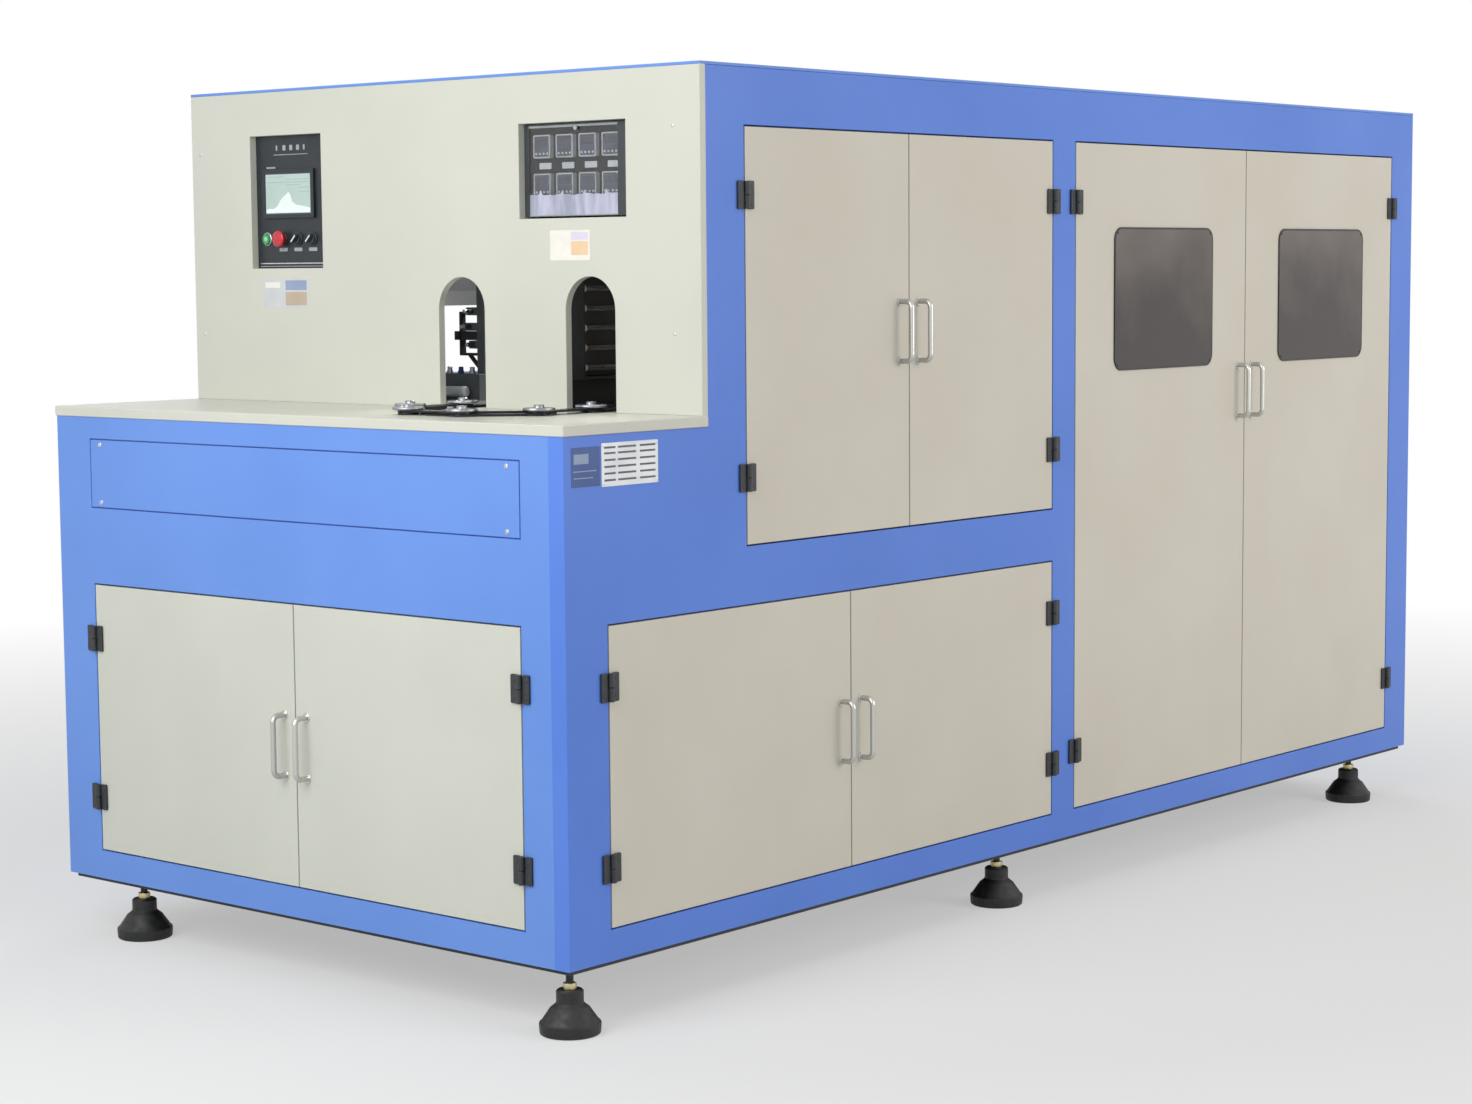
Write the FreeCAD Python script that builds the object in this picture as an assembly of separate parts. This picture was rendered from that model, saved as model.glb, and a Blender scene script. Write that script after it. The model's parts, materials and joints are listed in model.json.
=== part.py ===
import FreeCAD, Part
import os
from math import cos, pi, radians, sin
from FreeCAD import Vector

# Two-cavity stretch blow moulding machine: a blue sheet-steel cabinet with a low operator's
# counter in front, an upright control panel, and doors along its right side.
# Millimetres. +Z is up, the operator stands on the -Y side, the doors are on the +X side.
# The origin is on the floor, under the middle of the machine's outer box.

# ---- driving dimensions -------------------------------------------------------------------

# cabinet
bodyWidth = 1550.0
bodyLength = 3400.0
bodyBottom = 128.0        # underside of the blue cabinet above the floor
bodyTop = 1880.0
counterDepth = 420.0      # depth of the low operator's part
counterHeight = 1158.0    # underside of the worktop
worktopThick = 22.0
worktopOverhang = 3.0
worktopRound = 3.0
sheet = 2.5               # wall of the folded cabinet sheets
frameDepth = 40.0         # how deep the cabinet sheets are folded back
topEdge = 6.0             # folded edge of the top cover

# rails of the cabinet round the door openings
railWidth = 118.0
bottomRail = 63.0
topRail = 115.0
middleRail = 119.0
middlePost = 91.0
lowDoorHeight = 599.0
lowBayLength = 1526.0     # length of the lower door opening on the right side
outletStart = 1000.0      # opening in the left cover, from the cabinet's front
outletLength = 400.0
outletRise = 36.0         # its lower edge above the deck
outletHeight = 190.0

# doors
doorGap = 3.0
doorDepth = 20.0
doorSheet = 2.0
windowWidth = 446.0
windowHeight = 340.0
windowMiddle = 1392.0     # height of the windows' middle above the floor
windowRound = 30.0
windowPane = 4.0
windowLap = 18.0          # how far the pane laps over its cut-out
handleLength = 140.0
handleReach = 38.0
handleBar = 12.0
handleOffset = 34.0       # from a handle's middle to the line where two leaves meet
handleBend = 18.0
tallHandleHeight = 1155.0
hingeHeight = 57.0
hingeWide = 25.0          # width of one hinge half from the pin's axis
hingePlate = 5.0
hingeAxisOut = 7.0        # pin's axis in front of the leaf's face
hingeBarrel = 6.5
hingePin = 3.0
hingeInsetLow = 122.0     # from an opening's end to the hinge's middle
hingeInsetTall = 140.0
runClear = 0.05           # radial clearance of a pin or shaft that turns

# base frame and feet
baseBottom = 118.0
baseInset = 12.0
baseFlange = 88.0
tube = 60.0
baseTube = 50.0
footRadius = 61.0
footRim = 24.0
footHub = 27.0
footShoulder = 60.0
footTop = 87.0
studRadius = 8.0
studCollar = 13.0         # height of the hexagon on the stud
studHex = 14.0            # corner radius of that hexagon
footFrontLeft = (205.0, 45.0)     # from the cabinet's left side and front
footFrontRight = (30.0, 30.0)     # from its right side and front
footLeft = 66.0           # the other feet, from the left side
footRight = 50.0          # and from the right side
footMiddle = 20.0         # behind the rearmost cross beam
footRear = 230.0          # from the back
beamPlaces = (630.0, 910.0, 1470.0)           # cross beams, from the front

# operator's panel; recesses are left, right, bottom and top, from the left side and the floor
panelReturn = 17.0        # depth of the folded panel
panelSheet = 2.0
screenDepth = 18.0        # how deep the screen's recess is
meterDepth = 36.0         # and that of the instruments
plateThick = 3.0
screenRecess = (203.0, 440.0, 1480.0, 1777.0)
meterRecess = (1051.0, 1351.0, 1578.0, 1774.0)
archWidth = 138.0
archHeight = 278.0
archDepth = 22.0
screenWidth = 172.0
screenHeight = 110.0
screenBorder = 10.0
screenMiddle = (111.0, 167.0)     # from the recess's left and lower edges
screenProud = 6.0
buttonRise = 66.0         # middle of the controls above the recess's lower edge
controlMiddles = (35.0, 87.0, 137.0, 186.0)      # controls, from the recess's left edge
buttonRadius = 12.5
buttonRing = 15.5
buttonClear = 0.3
selectorTurn = 45.0       # a selector's grip at rest, from upright towards the right
stopRadius = 19.0
meterSize = 48.0
meterFrame = 4.0
meterProud = 12.0
meterStep = 64.5
meterRow = 79.5
meterFirst = 44.5         # middle of the first column from the recess's left edge
meterRise = 109.0         # middle of the instruments above the recess's lower edge
coverThick = 3.0
coverSet = 19.0           # cover's middle behind the panel's face
coverRise = 6.0           # cover's axis above the recess's lower edge
coverPin = 2.0
coverClear = 0.3

# screwed plate that sits flush in a shallow well across the counter's front
plateInset = 118.0
plateDrop = 50.0          # from the worktop to the plate
plateHeight = 148.0
plateDepth = 8.0
plateSheet = 2.0
plateGap = 2.5            # all round the plate
accessRim = 35.0          # how far the plate laps over the hole behind it

# preform chain
chainMiddle = 1062.0      # middle of the loop from the cabinet's left side
chainApart = 374.0        # between the axes of the two straight runs
pockets = 8               # holders that would fit round one whole bend
straightPitches = 6
linkWidth = 46.0
linkThick = 5.0
flangeRadius = 34.0
flangeThick = 6.0
mandrelRadius = 11.0
mandrelHeight = 6.0
chainClear = 0.5
guideWall = 8.0
guideHeight = 9.0
deckThick = 12.0
shaftRadius = 15.0
hubRadius = 40.0
hubHeight = 28.0
shaftReach = 45.0         # shaft below the deck
valvePost = (655.0, 690.0)                    # from the left side and the front
valveTop = 260.0
valveThick = 24.0
valveTank = (170.0, 60.0, 60.0)               # length, depth and height of the block under the valves
valveHeads = ((200.0, 34.0), (165.0, 46.0), (125.0, 26.0))    # height above the deck, reach

# oven
lampCount = 5
lampGap = 120.0           # from the panel to the reflector
wheelGap = 30.0           # from the reflector to the rear wheel
lampRadius = 6.0
lampPitch = 42.0
lampSet = 30.0            # lamp's axis beside the reflector's web
lampBankRise = 60.0       # reflector's floor above the deck
reflectorHalf = 55.0
reflectorSheet = 6.0

# blow station
clampMiddle = 775.0       # from the cabinet's left side
clampLap = 36.5           # how far a clamp cylinder reaches past the tall door opening
endPlateWidth = 670.0
endPlateThick = 60.0
tableTop = 860.0
tableThick = 40.0
tableRim = 20.0
tieRadius = 25.0
tieApart = 540.0
tieLow = 1010.0
tieHigh = 1450.0
platenThick = 50.0
platenRim = 60.0          # platen around the tie bars' axes
bridgeRoom = 50.0         # from the platens' top to the bridge
moldWidth = 400.0
moldDepth = 160.0
moldBottom = 1080.0
moldTop = 1380.0
cavityApart = 200.0
cavityRadius = 40.0
neckRadius = 16.0
cavityHeight = 250.0
clampRod = 20.0
clampCylinder = 55.0
clampLength = 190.0
stretchRadius = 8.0
stretchCylinder = 38.0
stretchStroke = 230.0
rodRise = 20.0            # rods' tips above the mould when drawn up
slideClear = 0.3          # clearance of a part that slides
bridgeThick = 30.0

# services in the lower part
gearCase = 140.0
motorRadius = 52.0
motorLength = 240.0
tankRadius = 140.0
tankMiddle = 420.0        # from the cabinet's right side
tankRise = 20.0           # above the cross beams
tankOverhang = 60.0       # past the beams that carry it
saddleWidth = 180.0
saddleThick = 40.0
glandPlace = (60.0, 500.0)        # from the left side and the back
glandNut = (18.0, 12.0)   # radius and height
glandTip = (12.0, 14.0)
glandBore = 6.0
gearPlateInset = (180.0, 260.0)   # from the left and the right side
gearPlateDrop = 20.0      # below the top of the door opening
gearMargin = 60.0
gearGap = 12.0
gearRows = (              # height above the floor, height, depth and widths of the devices
    (640.0, 90.0, 70.0, (60.0, 60.0, 60.0, 120.0, 90.0)),
    (470.0, 90.0, 80.0, (45.0, 45.0, 45.0, 45.0, 90.0)),
    (250.0, 150.0, 110.0, (120.0, 120.0, 120.0)),
)

# derived places
left = -(bodyWidth + handleReach - worktopOverhang) / 2
right = left + bodyWidth
front = -(bodyLength - handleReach) / 2
back = front + bodyLength
tallFront = front + counterDepth
panelFace = tallFront - panelReturn
worktopTop = counterHeight + worktopThick
frameTop = bodyTop - topEdge
lowDoorBottom = bodyBottom + bottomRail
lowDoorTop = lowDoorBottom + lowDoorHeight
upperDoorBottom = lowDoorTop + middleRail
doorTop = frameTop - topRail
lowBayStart = front + railWidth
lowBayEnd = lowBayStart + lowBayLength
upperBayStart = tallFront + railWidth
tallBayStart = lowBayEnd + middlePost
tallBayEnd = back - railWidth
tubeTop = bodyBottom + baseTube
deckUnder = worktopTop - deckThick
loopX = left + chainMiddle
pitch = chainApart * sin(pi / pockets) / cos(pi / pockets)
bendY = panelFace - pitch / 2                       # middle of the front bend
wheelY = bendY + straightPitches * pitch
wheelFlat = (chainApart - linkWidth) / 2 - chainClear
chainTop = worktopTop + 2 * linkThick
clampX = left + clampMiddle
parting = (tallBayStart + tallBayEnd) / 2
tieSpan = tallBayEnd - tallBayStart + 2 * (clampLap - endPlateThick - clampLength)    # clear length
endPlateTop = tieHigh + platenRim + bridgeRoom
buttonHeight = screenRecess[2] + buttonRise
plateTop = counterHeight - plateDrop
beams = [front + y for y in beamPlaces]
footPlaces = [
    (left + footFrontLeft[0], front + footFrontLeft[1]),
    (right - footFrontRight[0], front + footFrontRight[1]),
] + [(x, y) for y in (beams[2] + footMiddle, back - footRear) for x in (left + footLeft, right - footRight)]

frameHinges = []          # the cabinet's half of every hinge, gathered as the doors are made


# ---- small helpers ------------------------------------------------------------------------

def block(x0, x1, y0, y1, z0, z1):
    return Part.makeBox(x1 - x0, y1 - y0, z1 - z0, Vector(x0, y0, z0))


def prism(points, run):
    return Part.Face(Part.makePolygon(points + points[:1])).extrude(run)


def bar(radius, start, end, sides=8):
    """A straight bar between two points, drawn with flats, its corners on the radius."""
    run = end - start
    across = run.cross(Vector(0, 1, 0) if abs(run.z) > abs(run.y) else Vector(0, 0, 1))
    across.normalize()
    upward = run.cross(across)
    upward.normalize()
    turns = [2 * pi * (k + 0.5) / sides for k in range(sides)]
    return prism([start + across * (radius * cos(a)) + upward * (radius * sin(a)) for a in turns], run)


def bore(radius, start, end, sides=8):
    """The hole in which a bar of this radius can turn: its flats, not its corners, lie on the radius."""
    return bar(radius / cos(pi / sides), start, end, sides)


def turned(profile, place, sides):
    """A solid turned about an upright axis, drawn with flats, through rings of given radius and height."""
    turns = [2 * pi * k / sides for k in range(sides + 1)]
    rings = [[place + Vector(r * cos(a), r * sin(a), z) for a in turns] for r, z in profile]
    outlines = [rings[0], rings[-1]]
    for lower, upper in zip(rings, rings[1:]):
        for k in range(sides):
            outlines.append([lower[k], lower[k + 1], upper[k + 1], upper[k], lower[k]])
    return Part.makeSolid(Part.makeShell([Part.Face(Part.makePolygon(points)) for points in outlines]))


def along(radius, x, z, y0, y1, sides=8, shape=bar):
    """A bar or bore that lies along the machine."""
    return shape(radius, Vector(x, y0, z), Vector(x, y1, z), sides)


def rectangle(u0, u1, v0, v1):
    return [(u0, v0), (u1, v0), (u1, v1), (u0, v1)]


def rounded(outline, radius):
    """The rectangle with its corners rounded in three chords each."""
    (u0, v0), _, (u1, v1), _ = outline
    middles = rectangle(u0 + radius, u1 - radius, v0 + radius, v1 - radius)
    points = []
    for corner, (u, v) in enumerate(middles):
        for k in range(4):
            a = pi + corner * pi / 2 + k * pi / 6
            points.append((u + radius * cos(a), v + radius * sin(a)))
    return points


def atCorners(x0, x1, y0, y1):
    return [(x0, y0), (x1, y0), (x0, y1), (x1, y1)]


# Each side of the cabinet takes a point across and up its outer face, and a depth into the
# cabinet; a negative depth lies in front of the face.
sides = {
    "front": lambda u, v, depth: Vector(u, front + depth, v),
    "rear": lambda u, v, depth: Vector(u, back - depth, v),
    "left": lambda u, v, depth: Vector(left + depth, u, v),
    "right": lambda u, v, depth: Vector(right - depth, u, v),
    "panel": lambda u, v, depth: Vector(u, panelFace + depth, v),
}


def slab(side, outline, depth0, depth1, holes=()):
    """A flat plate on one side of the cabinet, from one depth to another."""
    place = sides[side]
    run = place(0, 0, depth1) - place(0, 0, depth0)
    plate = prism([place(u, v, depth0) for u, v in outline], run)
    for hole in holes:
        plate = plate.cut(prism([place(u, v, depth0) for u, v in hole], run))
    return plate


def inward(points, wall):
    """The outline drawn in by a wall; a negative wall draws it out."""
    ring = [Vector(u, v, 0) for u, v in points]
    wire = Part.Face(Part.makePolygon(ring + ring[:1])).makeOffset2D(-wall, 2).OuterWire
    return [(p.X, p.Y) for p in wire.OrderedVertexes]


def tray(side, outline, depth, wall, holes=()):
    """A folded sheet: a face with returns round its edge and round each hole, open behind."""
    folded = slab(side, outline, 0, depth, holes)
    return folded.cut(slab(side, inward(outline, wall), wall, depth, [inward(h, -wall) for h in holes]))


def stood(shape, side, u, v):
    """Stand a shape drawn at the origin, its front towards -Y, on one side of the cabinet."""
    if side == "right":
        shape.rotate(Vector(0, 0, 0), Vector(0, 0, 1), 90)
    shape.translate(sides[side](u, v, 0))
    return shape


def save(name, shape):
    shape.exportStep("parts/" + name + ".step")


# ---- base frame and feet ------------------------------------------------------------------

def ring(x0, x1, y0, y1, z0, z1, wall):
    return block(x0, x1, y0, y1, z0, z1).cut(block(x0 + wall, x1 - wall, y0 + wall, y1 - wall, z0, z1))


def upright(x, y, z0, z1):
    return block(x - tube / 2, x + tube / 2, y - tube / 2, y + tube / 2, z0, z1)


def baseFrame():
    """Welded frame: flange, ring of tube, cross beams, and posts for the oven deck and the clamp table."""
    inner = frameDepth + baseInset / 4
    parts = [ring(left + inner, right - inner, front + inner, back - inner, bodyBottom, tubeTop, tube)]
    legs = atCorners(clampX - (endPlateWidth - tube) / 2, clampX + (endPlateWidth - tube) / 2,
                     parting - (tieSpan + endPlateThick) / 2, parting + (tieSpan + endPlateThick) / 2)
    for y in beams + [legs[0][1], legs[2][1]]:
        parts.append(block(left + inner, right - inner, y - tube / 2, y + tube / 2, bodyBottom, tubeTop))
    for x, y in legs:
        parts.append(upright(x, y, tubeTop, tableTop - tableThick))
    for x, y in atCorners(left + inner + tube / 2, right - inner - 2 * tube, beams[0], beams[2]):
        parts.append(upright(x, y, bodyBottom, deckUnder))
    flange = ring(left + baseInset, right - baseInset, front + baseInset, back - baseInset,
                  baseBottom, bodyBottom, baseFlange)
    frame = flange.fuse(parts).removeSplitter()
    for x, y in footPlaces:
        place = Vector(x, y, baseBottom)
        frame = frame.cut(bore(studRadius + runClear, place, place + Vector(0, 0, bodyBottom - baseBottom)))
    return frame


def footPad(place):
    profile = [(footRadius - 2, 0), (footRadius, footRim), (footHub, footShoulder), (footHub, footTop)]
    return turned(profile, place, 18)


def footStud(place):
    collar = bar(studHex, place + Vector(0, 0, footTop), place + Vector(0, 0, footTop + studCollar), 6)
    return collar.fuse(bar(studRadius, place + Vector(0, 0, footTop + studCollar),
                           place + Vector(0, 0, bodyBottom - slideClear)))


def feet(shape):
    return Part.makeCompound([shape(Vector(x, y, 0)) for x, y in footPlaces])


# ---- cabinet ------------------------------------------------------------------------------

steppedOutline = [(front, bodyBottom), (back, bodyBottom), (back, frameTop), (tallFront, frameTop),
                  (tallFront, counterHeight), (front, counterHeight)]
frontOpening = rectangle(left + railWidth, right - railWidth, lowDoorBottom, lowDoorTop)
lowerOpening = rectangle(lowBayStart, lowBayEnd, lowDoorBottom, lowDoorTop)
upperOpening = rectangle(upperBayStart, lowBayEnd, upperDoorBottom, doorTop)
tallOpening = rectangle(tallBayStart, tallBayEnd, lowDoorBottom, doorTop)
outlet = rectangle(front + outletStart, front + outletStart + outletLength,
                   worktopTop + outletRise, worktopTop + outletRise + outletHeight)
coverPlate = rectangle(left + plateInset, right - plateInset, plateTop - plateHeight, plateTop)


def frontFrame():
    """Upper sheet with the cover plate's well, and two posts and a rail of folded channel round the doors.

    The well's floor has a hole for wiring. The four are welded edge to edge.
    """
    frame = tray("front", rectangle(left + frameDepth, right - frameDepth, bodyBottom, counterHeight),
                 frameDepth, sheet, [frontOpening])
    well = inward(coverPlate, -plateGap)
    frame = frame.fuse(slab("front", inward(well, -sheet), 0, plateDepth + sheet))
    frame = frame.cut(slab("front", well, 0, plateDepth))
    hole = slab("front", inward(coverPlate, accessRim), plateDepth, plateDepth + sheet)
    frame = frame.cut(hole).removeSplitter()
    doorLeft, doorRight = left + railWidth, right - railWidth
    quarters = [
        rectangle(left, right, lowDoorTop, counterHeight),
        rectangle(left, doorLeft, bodyBottom, lowDoorTop),
        rectangle(doorRight, right, bodyBottom, lowDoorTop),
        rectangle(doorLeft, doorRight, bodyBottom, lowDoorTop),
    ]
    return Part.makeCompound([frame.common(slab("front", quarter, 0, frameDepth)) for quarter in quarters])


def worktop():
    top = block(left - worktopOverhang, right + worktopOverhang, front - worktopOverhang, tallFront,
                counterHeight, worktopTop)
    upperFace = max(top.Faces, key=lambda face: face.CenterOfMass.z)
    rim = [e for e in upperFace.Edges if e.CenterOfMass.y < tallFront - 1]
    return top.makeFillet(worktopRound, rim)


def archWire(middle, width, height):
    """Outline of a round-topped opening that stands on the worktop, on the panel's face."""
    half = width / 2
    low = [Vector(middle + s * half, panelFace, worktopTop) for s in (-1, 1)]
    spring = [p + Vector(0, 0, height - half) for p in low]
    crown = Vector(middle, panelFace, worktopTop + height)
    return Part.Wire([
        Part.LineSegment(low[0], low[1]).toShape(),
        Part.LineSegment(low[1], spring[1]).toShape(),
        Part.Arc(spring[1], crown, spring[0]).toShape(),
        Part.LineSegment(spring[0], low[0]).toShape(),
    ])


def recessOutline(recess):
    x0, x1, z0, z1 = recess
    return rectangle(left + x0, left + x1, z0, z1)


def uprightPanel():
    """Folded panel with two box recesses and two round-topped chain openings, each with a collar."""
    panel = tray("panel", rectangle(left, right, worktopTop, frameTop), panelReturn, panelSheet)
    collars = []
    openings = []
    for recess, depth in ((screenRecess, screenDepth), (meterRecess, meterDepth)):
        hole = recessOutline(recess)
        collars.append(slab("panel", inward(hole, -panelSheet), 0, depth))
        openings.append(slab("panel", hole, 0, depth))
    for middle in (loopX - chainApart / 2, loopX + chainApart / 2):
        for wall, found in ((panelSheet, collars), (0, openings)):
            wire = archWire(middle, archWidth + 2 * wall, archHeight + wall)
            found.append(Part.Face(wire).extrude(Vector(0, archDepth, 0)))
    panel = panel.fuse(collars)
    for opening in openings:
        panel = panel.cut(opening)
    return panel.cut(bore(coverPin + runClear, *coverAxis())).removeSplitter()


# ---- doors --------------------------------------------------------------------------------

def hingeHalf(side, u, v, toward, onDoor):
    """Half of a lift-off hinge: the cabinet's half has the lower knuckle and the pin."""
    half = hingeHeight / 2
    low, high = (slideClear, half) if onDoor else (-half, -slideClear)
    axis = Vector(0, -hingeAxisOut, 0)
    near = toward * (hingeBarrel + 1)
    far = toward * hingeWide
    plate = block(min(near, far), max(near, far), -hingePlate, 0, -half, half)
    web = block(min(0, near), max(0, near), -hingePlate, 0, low, high)
    knuckle = bar(hingeBarrel, axis + Vector(0, 0, low), axis + Vector(0, 0, high))
    shape = plate.fuse([web, knuckle]).removeSplitter()
    tip = half - 4
    if onDoor:
        shape = shape.cut(bore(hingePin + runClear, axis + Vector(0, 0, low), axis + Vector(0, 0, tip + 2), 6))
    else:
        shape = shape.fuse(bar(hingePin, axis + Vector(0, 0, high), axis + Vector(0, 0, tip), 6))
    return stood(shape, side, u, v)


def handle(side, u, v):
    """Bow handle bent from one flat bar and standing on the leaf's face."""
    def outline(half, reach, bend):
        turns = [k * pi / 6 for k in range(4)]
        lower = [(reach - bend + bend * sin(a), -half + bend - bend * cos(a)) for a in turns]
        return [(0, -half)] + lower + [(out, -up) for out, up in reversed(lower)] + [(0, half)]

    def solid(half, reach, bend):
        return prism([Vector(-handleBar / 2, -out, up) for out, up in outline(half, reach, bend)],
                     Vector(handleBar, 0, 0))

    outer = solid(handleLength / 2, handleReach, handleBend)
    inner = solid(handleLength / 2 - handleBar, handleReach - handleBar, handleBend - handleBar)
    return stood(outer.cut(inner), side, u, v)


def windowOutlines(middle):
    """The pane's outline and that of the cut-out behind it."""
    outlines = []
    for lap in (0, windowLap):
        halfWidth, halfHeight = windowWidth / 2 - lap, windowHeight / 2 - lap
        outlines.append(rectangle(middle - halfWidth, middle + halfWidth,
                                  windowMiddle - halfHeight, windowMiddle + halfHeight))
    return outlines


def doorPair(name, side, opening, inset, handleHeight, hasWindow=False):
    """Two leaves that meet in the middle of an opening, with handles, windows and hinges."""
    (start, bottom), _, (end, top), _ = opening
    meet = (start + end) / 2
    for hand, hinged, toward in (("left", start, 1), ("right", end, -1)):
        edges = sorted((hinged + toward * doorGap, meet - toward * doorGap / 2))
        holes = []
        if hasWindow:
            pane, cutOut = windowOutlines(sum(edges) / 2)
            holes.append(cutOut)
            save(name + "_" + hand + "_window", slab(side, rounded(pane, windowRound), -windowPane, 0))
        leaf = tray(side, rectangle(edges[0], edges[1], bottom + doorGap, top - doorGap),
                    doorDepth, doorSheet, holes)
        axis = hinged + toward * doorGap / 2
        halves = []
        for height in (bottom + inset, top - inset):
            halves.append(hingeHalf(side, axis, height, toward, True))
            frameHinges.append(hingeHalf(side, axis, height, -toward, False))
        save(name + "_" + hand, leaf.fuse(halves).removeSplitter())
        save(name + "_" + hand + "_handle", handle(side, meet - toward * handleOffset, handleHeight))


# ---- operator's controls ------------------------------------------------------------------

plateFace = panelFace + screenDepth
plateBack = plateFace + plateThick
buttonPlaces = [left + screenRecess[0] + middle for middle in controlMiddles]
ringFace = plateFace - 4.0
controlSides = 12


def recessPlate(recess, depth):
    return slab("panel", inward(recessOutline(recess), -panelSheet), depth, depth + plateThick)


def screenPlate():
    """Plate of the screen's recess, with a raised ring round each of the four controls."""
    rings = [along(buttonRing, x, buttonHeight, ringFace, plateFace, controlSides) for x in buttonPlaces]
    plate = recessPlate(screenRecess, screenDepth).fuse(rings)
    for x in buttonPlaces:
        plate = plate.cut(along(buttonRadius + buttonClear, x, buttonHeight, ringFace, plateBack,
                                controlSides, bore))
    return plate.removeSplitter()


def touchScreen():
    x, z = left + screenRecess[0] + screenMiddle[0], screenRecess[2] + screenMiddle[1]
    outline = rectangle(x - screenWidth / 2, x + screenWidth / 2, z - screenHeight / 2, z + screenHeight / 2)
    face = screenDepth - screenProud
    body = slab("panel", outline, face, screenDepth)
    return body.cut(slab("panel", inward(outline, screenBorder), face, face + 2))


def startButton():
    return along(buttonRadius, buttonPlaces[0], buttonHeight, ringFace - 4, plateBack + 8, controlSides)


def stopButton():
    x = buttonPlaces[1]
    head = along(stopRadius, x, buttonHeight, ringFace - 16, ringFace - 8, 16)
    neck = along(buttonRadius, x, buttonHeight, ringFace - 8, plateBack + 8, controlSides)
    return head.fuse(neck)


def selector(x):
    """Knob with a raised grip bar, turned to its rest position."""
    knob = along(buttonRadius, x, buttonHeight, ringFace - 4, plateBack + 8, controlSides)
    grip = block(x - 3.5, x + 3.5, ringFace - 13, ringFace - 4,
                 buttonHeight - buttonRadius + 1, buttonHeight + buttonRadius - 1)
    grip.rotate(Vector(x, 0, buttonHeight), Vector(0, 1, 0), selectorTurn)
    return knob.fuse(grip)


def instruments():
    """Eight square plug-in instruments, each with a raised frame round its face."""
    half = meterSize / 2
    solids = []
    for row in (0.5, -0.5):
        for column in range(4):
            x = left + meterRecess[0] + meterFirst + column * meterStep
            z = meterRecess[2] + meterRise + row * meterRow
            outline = rectangle(x - half, x + half, z - half, z + half)
            face = meterDepth - meterProud
            body = slab("panel", outline, face, meterDepth)
            solids.append(body.cut(slab("panel", inward(outline, meterFrame), face, face + 2)))
    return Part.makeCompound(solids)


def coverAxis():
    """Ends of the instrument cover's two pins, in the recess's side walls."""
    y, z = panelFace + coverSet, meterRecess[2] + coverRise
    return (Vector(left + meterRecess[0] - panelSheet, y, z), Vector(left + meterRecess[1] + panelSheet, y, z))


def instrumentCover():
    """Clear flap in front of the instruments, hinged along its lower edge, with a knob at the top."""
    x0, x1, _, z1 = meterRecess
    start, end = coverAxis()
    flap = block(left + x0 + coverClear, left + x1 - coverClear, start.y - coverThick / 2,
                 start.y + coverThick / 2, start.z - coverRise / 2, z1 - 2)
    knob = along(5.0, left + (x0 + x1) / 2, z1 - 12, start.y - coverThick / 2 - 6, start.y - coverThick / 2)
    return flap.fuse([bar(coverPin, start, end), knob]).removeSplitter()


# ---- preform chain and oven ---------------------------------------------------------------

def chainPlaces():
    """Axes of the holders in order round the loop: front bend, left run, rear bend, right run."""
    step = 2 * pi / pockets
    radius = chainApart / 2 / cos(step / 2)
    places = []
    for end, middleY in ((-1, bendY), (1, wheelY)):
        for k in range(pockets // 2):
            a = step * (k + 0.5)
            places.append(Vector(loopX - end * radius * cos(a), middleY + end * radius * sin(a), worktopTop))
        for k in range(straightPitches):
            places.append(Vector(loopX + end * chainApart / 2, middleY - end * (k + 0.5) * pitch, worktopTop))
    return places


def chainLink(start, end, layer):
    """Flat link with cut corners, from one holder's axis to the next."""
    along = (end - start).normalize()
    across = Vector(-along.y, along.x, 0)
    up = Vector(0, 0, layer * linkThick)
    w = linkWidth / 2
    ring = []
    for middle, s in ((start, -1), (end, 1)):
        for out, over in ((0.4, 1), (1, 0), (0.4, -1)):
            ring.append(middle + up + along * (s * out * w) - across * (s * over * w))
    return prism(ring, Vector(0, 0, linkThick))


def chainLinks():
    """Links that overlap at each holder, every other one a plate higher."""
    places = chainPlaces()
    following = places[1:] + places[:1]
    return Part.makeCompound([chainLink(a, b, k % 2) for k, (a, b) in enumerate(zip(places, following))])


def preformHolders():
    solids = []
    for place in chainPlaces():
        seat = place + Vector(0, 0, chainTop - worktopTop)
        collar = seat + Vector(0, 0, flangeThick)
        flange = bar(flangeRadius, seat, collar)
        solids.append(flange.fuse(bar(mandrelRadius, collar, collar + Vector(0, 0, mandrelHeight), 6)))
    return Part.makeCompound(solids)


def chainGuide():
    """Rail on the worktop that turns the chain in front of the panel, with one flat for each link."""
    low, high = Vector(loopX, bendY, worktopTop), Vector(loopX, bendY, worktopTop + guideHeight)
    rail = bore(wheelFlat, low, high, pockets).cut(bore(wheelFlat - guideWall, low, high, pockets))
    return rail.cut(block(loopX - chainApart, loopX + chainApart, bendY, bendY + chainApart,
                          worktopTop, worktopTop + guideHeight))


def chainWheel():
    """Wheel that carries the chain round its rear bend, with a hub and the shaft that the gearbox drives."""
    z0, z1 = worktopTop + chainClear, chainTop - chainClear
    middle = Vector(loopX, wheelY, 0)
    wheel = bar(wheelFlat, middle + Vector(0, 0, z0), middle + Vector(0, 0, z1), 24)
    for k in range(4):
        a = radians(45 + 90 * k)
        centre = middle + Vector(cos(a), sin(a), 0) * (0.62 * wheelFlat)
        wheel = wheel.cut(bar(0.2 * wheelFlat, centre + Vector(0, 0, z0), centre + Vector(0, 0, z1)))
    hub = bar(hubRadius, middle + Vector(0, 0, z1), middle + Vector(0, 0, worktopTop + hubHeight), 16)
    shaft = bar(shaftRadius, middle + Vector(0, 0, deckUnder - shaftReach), middle + Vector(0, 0, z0), 16)
    return wheel.fuse([hub, shaft]).removeSplitter()


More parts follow.
